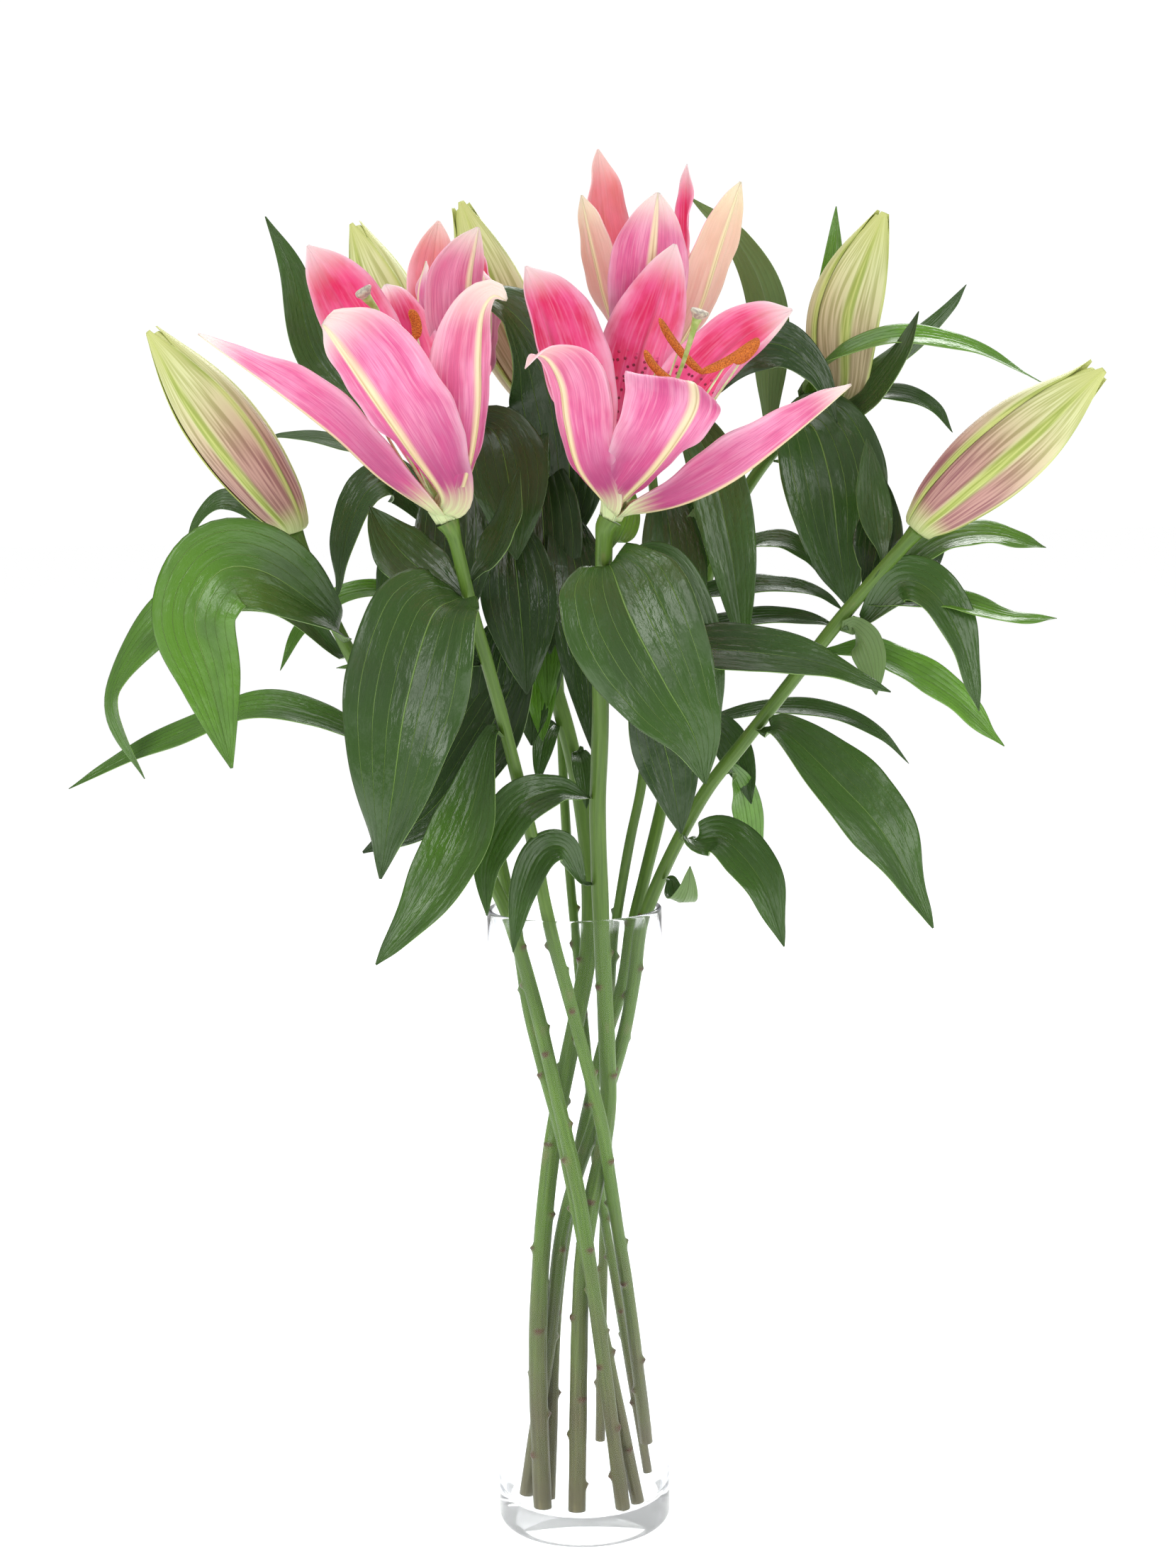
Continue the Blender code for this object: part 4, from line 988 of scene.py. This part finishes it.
def grow_stamens(bloom):
    """Six filaments, each with its anther."""
    axis, right, back = bloom_axes(bloom)
    base = np.array(STEMS[bloom + "_stem"][1][-1]) + axis * 2.5
    for index, (low, high) in enumerate(ANTHERS[bloom]):
        low, high = np.array(low, float), np.array(high, float)
        turn = math.radians(60 * index)
        outward = right * math.cos(turn) + back * math.sin(turn)
        foot = base + outward * FILAMENT_RING
        spread = outward * 2.0
        tip = low.copy() if bloom == "left_bloom" else (low + high) / 2
        route = smooth_route([foot, foot + axis * 10 + spread, foot + (tip - foot) * 0.6 + spread, tip], 30)
        filament = make_tube(f"{bloom}_filament_{index}", route,
                             np.linspace(FILAMENT_RADIUS * 1.3, FILAMENT_RADIUS * 0.6, 31),
                             [FILAMENT_GREEN], 10)
        settle(filament, "stem")
        if index == 0 and bloom in ("left_bloom", "right_bloom"):
            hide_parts(bloom + "_stamens")
        grow_anther(f"{bloom}_anther_{index}", low, high, axis)


for bloom_name in BLOOMS:
    grow_stamens(bloom_name)
print("anthers:", sum(len(ends) for ends in ANTHERS.values()))

# %% [markdown]
# A bud is built the way it grows: a closed body of three petals, wrapped by three sepals.  Each sepal
# wraps a little more than a third of the way round, so that its left rim lies over its neighbour's right
# one.  Near the tip the sepals narrow and part a little, like a beak.

# %% Buds
BUD_OUTLINE = ((0.0, 0.36), (0.08, 0.6), (0.25, 0.88), (0.45, 1.0), (0.62, 0.93),
               (0.8, 0.65), (0.92, 0.36), (1.0, 0.13))
BUD_ROWS = 90
SEPAL_SPREAD = ((0, 66), (0.75, 66), (0.9, 58), (1, 40))  # degrees to each side of a sepal's rib
SEPAL_THICK = 0.4

# Stem, radius, turn of the first sepal, ripeness, parting of the tips, and the axis after the stem.
BUDS = {
    "left_bud": ("left_bud_stem", 19, 250, 0.85, 1.5, [(-167, -30, 580), (-207, -28, 635)]),
    "green_bud": ("green_bud_stem", 17, 240, 0.0, 1.5, [(-89, 54, 639), (-111, 60, 694)]),
    "pale_bud": ("pale_bud_stem", 19, 270, 0.5, 3.0, [(-34, 48, 645), (-54, 58, 703)]),
    "upper_bud": ("upper_bud_stem", 20, 265, 0.5, 1.0, [(149, 52, 643), (169, 46, 694)]),
    "right_bud": ("right_bud_stem", 21, 265, 0.9, 4.5, [(211, -52, 563), (265, -50, 607)]),
}


def close_bud(name):
    """Three sepals round a closed body."""
    stem, radius, turn, ripe, parting, points = BUDS[name]
    before, end = stem_line(stem)[-2:]
    along = unit(end - before)
    start = end + along * 0.8
    route = smooth_route([start, start + along * 10] + points, BUD_ROWS)
    share = np.linspace(0, 1, BUD_ROWS + 1)
    girth = radius * smooth_profile(BUD_OUTLINE, share)
    ones, twos = carried_frames(route, (1, 0, 0))
    body = make_tube(name + "_core", route[:-2], girth[:-2] * 0.90, [BUD_SKIN], 24)
    settle(body, "bud")
    across = np.linspace(-1, 1, 29)
    edge = np.abs(across)
    for index in range(3):
        middle = math.radians(turn + 120 * index)
        narrow = smooth_profile(SEPAL_SPREAD, share)
        turns = middle + np.radians(narrow)[:, None] * across
        rib = 0.035 * np.exp(-(across / 0.09) ** 2) + 0.02 * np.exp(-((edge - 0.93) / 0.06) ** 2)
        wrap = 0.96 + 0.018 * across + rib - 0.03 * np.exp(-((edge - 0.15) / 0.06) ** 2)
        out = girth[:, None] * wrap + 0.16 * across
        tip = np.clip((share - 0.84) / 0.16, 0, 1)[:, None] ** 1.8
        centre = ones * math.cos(middle) + twos * math.sin(middle)
        ring = ones[:, None] * np.cos(turns)[..., None] + twos[:, None] * np.sin(turns)[..., None]
        grid = route[:, None] + ring * out[..., None] + centre[:, None] * (parting * tip)[..., None]
        shape = grid.shape[:2]
        place = np.stack([np.broadcast_to(across, shape), np.broadcast_to(share[:, None], shape),
                          np.full(shape, ripe)], -1)
        flat = np.stack([np.broadcast_to(across * radius * 1.15 / 10 + index * 9, shape),
                         np.broadcast_to(lengths_along(route)[:, None] / 10, shape), np.zeros(shape)], -1)
        sepal = make_skin(f"{name}_sepal_{index}", grid, place, flat, [BUD_SKIN])
        shell = sepal.modifiers.new("thickness", "SOLIDIFY")
        shell.thickness = SEPAL_THICK * MM
        shell.thickness_clamp = 1.5
        settle(sepal, "bud", *([name] if index == 0 else []))


for bud_name in BUDS:
    close_bud(bud_name)
print("buds:", len(BUDS))

# %% [markdown]
# A lily carries its leaves singly round the stem.  Each has a short foot, is widest a little before its
# middle and runs out into a long point.  Most arch out and hang by their own weight.

# %% Leaf shapes
LEAF_ROWS = 60
HEART_OUTLINE = ((0.0, 0.20), (0.05, 0.52), (0.12, 0.84), (0.24, 1.0), (0.42, 0.97), (0.60, 0.78),
                 (0.78, 0.48), (0.91, 0.20), (1.0, 0.02))
HEART_SHAPED = ("leaf_centre_front", "leaf_left_front")
LEAF_OUTLINE = ((0.0, 0.14), (0.12, 0.42), (0.28, 0.82), (0.45, 1.0), (0.6, 0.94),
                (0.78, 0.62), (0.92, 0.27), (1.0, 0.03))
LEAF_CUPS = ((0.6, 0.25, 0.2),) * 2
LEAF_ROLLS = ((-0.1, -0.25, -0.2),) * 2

# Stem, height of the root, width, how the upper side faces at root and tip, tones from root to tip, which
# hold painted shade and a painted backlight glow, and the midrib after the root.
LEAVES = {
    "leaf_left_arching": ("left_bud_stem", 477, 48, (0.2, -0.6, 0.75), (-0.15, -0.97, 0.15),
                          (0.2, 0.7, 0.75),
                          [(-121, -46, 492), (-148, -64, 514), (-170, -70, 516), (-183, -74, 494),
                           (-176, -76, 462), (-167, -77, 419)]),
    "leaf_left_outer": ("left_bud_stem", 470, 30, (-0.2, -0.5, 0.85), (-0.8, -0.6, 0.1), (0.3, 0.7, 0.6),
                        [(-147, -5, 497), (-185, 5, 502), (-214, 12, 486), (-236, 15, 460),
                         (-240, 12, 438), (-224, 5, 405)]),
    "leaf_left_long": ("left_bud_stem", 420, 26, (0.0, -0.6, 0.8), (-0.1, -0.5, 0.85), (0.4, 0.7, 0.6),
                       [(-131, 0, 435), (-169, 10, 440), (-220, 20, 422), (-268, 25, 398)]),
    "leaf_left_front": ("left_bloom_stem", 502, 64, (-0.4, -0.8, 0.4), (-0.2, -0.97, -0.1), (0.3, 0.25, 0.3),
                        [(-66, -98, 492), (-78, -115, 452), (-85, -120, 410), (-92, -118, 369)]),
    "leaf_left_dark": ("hidden_bloom_stem", 482, 40, (-0.5, -0.75, 0.4), (-0.4, -0.9, 0.1), (0, 0.05, 0.1),
                       [(-29, -10, 455), (-49, -30, 420), (-74, -45, 390), (-106, -50, 372)]),
    "leaf_left_drooping": ("left_bloom_stem", 431, 36, (-0.5, -0.75, 0.4), (-0.5, -0.85, 0.1),
                           (0.3, 0.6, 0.5),
                           [(-52, -70, 389), (-70, -80, 356), (-98, -85, 321)]),
    "leaf_rim_left": ("right_bloom_stem", 396, 24, (-0.3, -0.7, 0.6), (-0.3, -0.95, 0.0), (0.3, 0.4, 0.5),
                      [(-8, -50, 402), (-28, -64, 395), (-42, -72, 370), (-43, -76, 343)]),
    "leaf_rim_right": ("right_bud_stem", 371, 28, (0.3, -0.7, 0.6), (0.5, -0.85, 0.0), (0.4, 0.45, 0.5),
                       [(64, -26, 372), (78, -35, 373), (96, -47, 352), (106, -55, 321)]),
    "leaf_right_drooping": ("right_bud_stem", 430, 44, (0.1, -0.75, 0.65), (0.6, -0.75, 0.2),
                            (0.4, 0.5, 0.5),
                            [(108, -38, 429), (133, -50, 405), (157, -60, 377), (180, -65, 331)]),
    "leaf_right_front": ("right_bloom_stem", 478, 30, (0.0, -0.6, 0.8), (0.1, -0.7, 0.7), (0.1, 0.2, 0.4),
                         [(48, -82, 475), (86, -85, 473), (124, -80, 466), (158, -75, 451)]),
    "leaf_right_bright": ("right_bud_stem", 470, 28, (0.0, -0.6, 0.8), (0.2, -0.6, 0.75), (0.7, 1.0, 0.9),
                          [(158, -25, 465), (195, -20, 444), (223, -18, 417)]),
    "leaf_right_level": ("right_bud_stem", 496, 20, (0.0, -0.5, 0.85), (0.0, -0.5, 0.85), (0.5, 0.8, 0.8),
                         [(187, -48, 494), (219, -48, 486), (245, -45, 484)]),
    "leaf_right_upper": ("right_bud_stem", 510, 26, (0.0, -0.5, 0.85), (0.0, -0.5, 0.85), (0.4, 0.75, 0.7),
                         [(189, -38, 523), (214, -34, 526), (242, -30, 519)]),
    "leaf_upper_hanging": ("upper_bud_stem", 570, 60, (0.1, -0.6, 0.8), (0.3, -0.95, 0.1), (0.3, 0.25, 0.3),
                           [(116, 36, 577), (128, 20, 583), (136, 4, 556), (140, 0, 521), (145, 0, 489)]),
    "leaf_upper_bright": ("upper_bud_stem", 586, 20, (0.0, -0.5, 0.85), (0.2, -0.5, 0.85), (0.4, 0.8, 0.8),
                          [(128, 38, 606), (146, 22, 620), (174, 22, 628), (213, 38, 623), (257, 50, 602)]),
    "leaf_upper_pale": ("upper_bud_stem", 572, 22, (0.4, 0.7, 0.5), (0.2, 0.9, 0.3), (0.3, 0.4, 0.6),
                        [(109, 62, 600), (108, 62, 648), (93, 60, 681), (68, 55, 704)]),
    "leaf_centre_front": ("right_bloom_stem", 517, 66, (0.0, -0.9, 0.4), (0.0, -0.99, -0.1),
                          (0.35, 0.35, 0.4),
                          [(30, -108, 491), (46, -122, 460), (59, -126, 436), (64, -124, 413)]),
    "leaf_back_dark": ("pale_bud_stem", 519, 55, (0.0, -0.9, 0.4), (-0.2, -0.8, 0.5), (0.0, 0.1, 0.3),
                       [(1, 14, 546), (0, 4, 590), (-8, -8, 618), (-28, -30, 643), (-48, -51, 650)]),
    "leaf_back_left": ("green_bud_stem", 582, 24, (0.3, -0.9, 0.2), (0.3, -0.9, 0.2), (0.2, 0.3, 0.5),
                       [(-98, 60, 588), (-134, 76, 624), (-147, 78, 672), (-160, 76, 700)]),
}


def stem_at(name, height):
    """The middle of a stem and its direction at a height."""
    route = stem_line(name)
    for below, above in zip(route, route[1:]):
        if above[2] >= height:
            share = (height - below[2]) / (above[2] - below[2])
            return below + (above - below) * share, unit(above - below)


# %% Leaves
def hang_leaf(name, shape, *nodes):
    """A leaf, rooted on the skin of its stem."""
    stem, height, width, root_face, tip_face, tones, points = shape
    middle, along = stem_at(stem, height)
    outward = np.array(points[0], float) - middle
    outward = unit(outward - along * outward.dot(along))
    root = middle + outward * (STEMS[stem][0] + 0.3)
    stalk = root + outward * 6 + along * 3
    route = smooth_route([root, stalk] + points, LEAF_ROWS)
    outline = HEART_OUTLINE if name in HEART_SHAPED else LEAF_OUTLINE
    half = width / 2 * smooth_profile(outline, np.linspace(0, 1, LEAF_ROWS + 1))
    leaf = lay_blade(name + "_fine", route, outward, (root_face, tip_face), (half, half),
                     [LEAF_TOP, LEAF_UNDER], tones, LEAF_CUPS, LEAF_ROLLS, ruffle=0.045 * width, ruffles=1.5,
                     pleats=LEAF_VEINS, pleat=0.10, steps=16, thick=0.5)
    return settle(leaf, "leaf", *nodes)


for leaf_name, leaf_shape in LEAVES.items():
    hang_leaf(leaf_name, leaf_shape, leaf_name)
print("leaves over CAD nodes:", len(LEAVES))

# %% [markdown]
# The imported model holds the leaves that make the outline.  Many more fill the inside of the bouquet.  Each
# of these is told by how it grew: the stem and the height it leaves it at, the compass heading it takes
# (0 to the right, 90 to the back, -90 to the viewer), how far it reaches, how high it arches over the
# straight line to its tip, and how far its tip falls below its root.  A negative fall is a leaf that climbs.

# %% Leaves inside the bouquet
LEVEL, HANGING, TURNED = (0.0, -0.6, 0.8), (0.1, -0.8, 0.5), (0.0, 0.7, 0.6)
TO_FRONT, TO_LEFT, TO_RIGHT = (0.1, -0.97, 0.1), (-0.7, -0.7, 0.1), (0.6, -0.8, 0.0)
# Leaf tones paint light: the two darkest are painted shade for leaves inside the bouquet, the brightest a
# painted glow of leaves lit from behind.
DEEP_SHADE, SHADY, MIDDLING, BACKLIT_GLOW = (0.0, 0.07, 0.15), (0.15, 0.25, 0.25), (0.3, 0.4, 0.4), (0.6, 0.85, 0.75)

# Stem, height, heading, reach, arch, fall, width, upper face at the root and at the tip, and tones.
INNER_LEAVES = {
    # beside and behind the left bud
    "leaf_left_small": ("left_bud", 505, 172, 72, 42, -12, 12, HANGING, TO_LEFT, MIDDLING),
    "leaf_left_behind": ("green_bud", 562, 174, 92, 14, -18, 13, LEVEL, LEVEL, MIDDLING),
    "leaf_left_glossy": ("green_bud", 535, 205, 62, 30, 38, 28, HANGING, TO_LEFT, SHADY),
    "leaf_left_hanging": ("green_bud", 505, 215, 48, 24, 30, 24, HANGING, TO_LEFT, SHADY),
    "leaf_left_lobe": ("green_bud", 495, 210, 38, 14, 14, 18, LEVEL, TO_FRONT, SHADY),
    "leaf_left_light": ("green_bud", 485, 180, 96, 20, 26, 15, LEVEL, LEVEL, BACKLIT_GLOW),
    "leaf_left_tip": ("green_bud", 456, 206, 76, 3, -6, 14, LEVEL, LEVEL, BACKLIT_GLOW),
    "leaf_left_rising": ("left_bloom", 500, 150, 55, 8, -46, 32, HANGING, HANGING, SHADY),
    "leaf_left_low": ("left_bloom", 468, 178, 48, 14, 42, 30, HANGING, TO_LEFT, DEEP_SHADE),
    # ones in painted shade between the two front blooms
    "leaf_middle_first": ("hidden_bloom", 568, 248, 38, 8, 92, 42, HANGING, TO_FRONT, DEEP_SHADE),
    "leaf_middle_second": ("hidden_bloom", 535, 282, 36, 8, 86, 40, HANGING, TO_FRONT, DEEP_SHADE),
    "leaf_middle_third": ("pale_bud", 568, 268, 42, 8, 100, 40, HANGING, TO_FRONT, DEEP_SHADE),
    "leaf_middle_fourth": ("pale_bud", 586, 248, 46, 10, 66, 36, HANGING, TO_FRONT, SHADY),
    "leaf_middle_broad": ("hidden_bloom", 576, 302, 52, 16, 58, 42, HANGING, TO_FRONT, SHADY),
    "leaf_middle_long": ("pale_bud", 535, 292, 62, 10, 115, 34, HANGING, TO_FRONT, DEEP_SHADE),
    "leaf_middle_low": ("hidden_bloom", 482, 232, 42, 8, 70, 34, HANGING, TO_FRONT, DEEP_SHADE),
    "leaf_middle_tucked": ("pale_bud", 482, 245, 38, 6, 62, 30, HANGING, TO_FRONT, SHADY),
    "leaf_middle_curled": ("left_bloom", 508, 32, 30, 6, -56, 20, HANGING, TO_LEFT, SHADY),
    "leaf_middle_thin": ("green_bud", 560, -30, 74, 5, -32, 11, LEVEL, LEVEL, MIDDLING),
    "leaf_middle_bright": ("pale_bud", 500, 262, 40, 4, 60, 20, HANGING, TO_FRONT, BACKLIT_GLOW),
    # round the neck of the right bloom
    "leaf_neck_left": ("right_bloom", 520, 60, 36, 5, -34, 14, LEVEL, HANGING, BACKLIT_GLOW),
    "leaf_neck_right": ("top_bloom", 530, -30, 28, 3, -28, 16, LEVEL, HANGING, MIDDLING),
    "leaf_neck_grey": ("top_bloom", 515, -50, 36, 2, -30, 17, TURNED, TURNED, MIDDLING),
    "leaf_neck_bright": ("top_bloom", 494, -30, 32, 3, -30, 15, LEVEL, LEVEL, BACKLIT_GLOW),
    # between the right bloom's stem and the right bud's
    "leaf_centre_behind": ("right_bloom", 505, -6, 56, 26, 74, 22, HANGING, TO_RIGHT, MIDDLING),
    "leaf_centre_dark": ("right_bloom", 454, -12, 40, 8, 74, 34, HANGING, TO_FRONT, DEEP_SHADE),
    "leaf_centre_light": ("hidden_bloom", 468, 262, 22, 4, 46, 17, HANGING, TO_FRONT, BACKLIT_GLOW),
    "leaf_centre_strip": ("top_bloom", 575, -46, 62, 24, 108, 30, HANGING, TO_FRONT, MIDDLING),
    "leaf_centre_hidden": ("top_bloom", 545, -75, 44, 8, 88, 34, HANGING, TO_FRONT, SHADY),
    "leaf_level_first": ("top_bloom", 490, -12, 98, 12, 2, 16, LEVEL, LEVEL, SHADY),
    "leaf_level_second": ("top_bloom", 474, -14, 98, 10, -4, 15, LEVEL, LEVEL, SHADY),
    "leaf_level_third": ("upper_bud", 512, -25, 62, 13, 8, 16, LEVEL, LEVEL, MIDDLING),
    "leaf_stem_behind": ("upper_bud", 428, -35, 44, 5, 42, 20, HANGING, TO_FRONT, SHADY),
    # round the right bud's stem
    "leaf_right_behind": ("right_bud", 405, 60, 42, 4, 66, 20, HANGING, TO_RIGHT, BACKLIT_GLOW),
    "leaf_right_pale": ("upper_bud", 425, -12, 122, 14, 20, 14, LEVEL, LEVEL, MIDDLING),
    "leaf_right_rolled": ("right_bud", 488, -15, 68, 24, 48, 28, LEVEL, TO_RIGHT, MIDDLING),
    "leaf_right_grey": ("right_bud", 482, -40, 26, 3, 34, 18, TURNED, TURNED, MIDDLING),
    "leaf_right_dark": ("right_bud", 500, 72, 34, 4, -54, 26, HANGING, HANGING, DEEP_SHADE),
    "leaf_right_shaded": ("right_bud", 508, 40, 48, 4, -16, 24, HANGING, HANGING, DEEP_SHADE),
    "leaf_right_arching": ("right_bud", 512, 98, 32, 8, -64, 18, HANGING, LEVEL, MIDDLING),
    # round the upper bud's stem
    "leaf_upper_rising": ("upper_bud", 578, 40, 36, 2, -122, 18, HANGING, HANGING, BACKLIT_GLOW),
    "leaf_upper_right": ("upper_bud", 588, 15, 92, 20, -70, 15, LEVEL, LEVEL, MIDDLING),
    "leaf_upper_crossing": ("upper_bud", 572, -30, 82, 6, -68, 20, HANGING, LEVEL, SHADY),
    "leaf_upper_dark": ("top_bloom", 580, -5, 98, 44, -4, 28, HANGING, TO_RIGHT, DEEP_SHADE),
    "leaf_upper_grey": ("upper_bud", 586, -22, 80, 15, 8, 15, LEVEL, LEVEL, SHADY),
    "leaf_upper_short": ("upper_bud", 566, -30, 52, 3, -24, 12, TURNED, TURNED, MIDDLING),
    # low, over the rim of the glass
    "leaf_rim_low": ("right_bloom", 350, 222, 62, 28, 28, 18, LEVEL, TO_FRONT, MIDDLING),
    "leaf_rim_curled": ("right_bud", 350, -68, 46, -12, -12, 14, LEVEL, TURNED, MIDDLING),
    "leaf_rim_small": ("pale_bud", 425, 250, 34, 6, 26, 12, LEVEL, TO_FRONT, MIDDLING),
    "leaf_rim_short": ("hidden_bloom", 412, -70, 26, 5, 26, 12, LEVEL, TO_FRONT, MIDDLING),
}


def arching_points(name, stem, height, heading, reach, arch, fall):
    """Points along a leaf's midrib, which sways a little to one side."""
    dice = random.Random(name)
    sway = dice.uniform(-0.12, 0.12) * reach
    middle = stem_at(stem, height)[0]
    turn = math.radians(heading)
    out = np.array((math.cos(turn), math.sin(turn), 0))
    sideways = np.array((-math.sin(turn), math.cos(turn), 0))
    points = []
    for share in (0.3, 0.55, 0.8, 1.0):
        distance = reach * share * (1.5 - 0.5 * share)  # leaves run outward first, then droop
        lift = 4 * arch * share * (1 - share) - fall * share ** 2
        points.append(tuple(middle + out * distance + sideways * sway * share ** 2 + (0, 0, lift)))
    return points


for leaf_name, growth in INNER_LEAVES.items():
    stem, height, heading, reach, arch, fall, *looks = growth
    midrib = arching_points(leaf_name, stem + "_stem", height, heading, reach, arch, fall)
    hang_leaf(leaf_name, (stem + "_stem", height, *looks, midrib))
print("leaves inside the bouquet:", len(INNER_LEAVES))

# %% [markdown]
# The vase stands on a plain pale floor.

# %% Floor
def lay_floor():
    """A wide pale sheet, a little lighter than paper."""
    bpy.ops.mesh.primitive_plane_add(size=40, location=(0, 0, -0.0002))
    floor = bpy.context.object
    floor.name = "pale_floor"
    material, tree, shader = start_finish("pale_floor", 0.9, Emission_Strength=0.56)
    shader.inputs["Base Color"].default_value = (0.92, 0.92, 0.92, 1)
    shader.inputs["Emission Color"].default_value = (1, 1, 1, 1)
    floor.data.materials.append(material)


lay_floor()
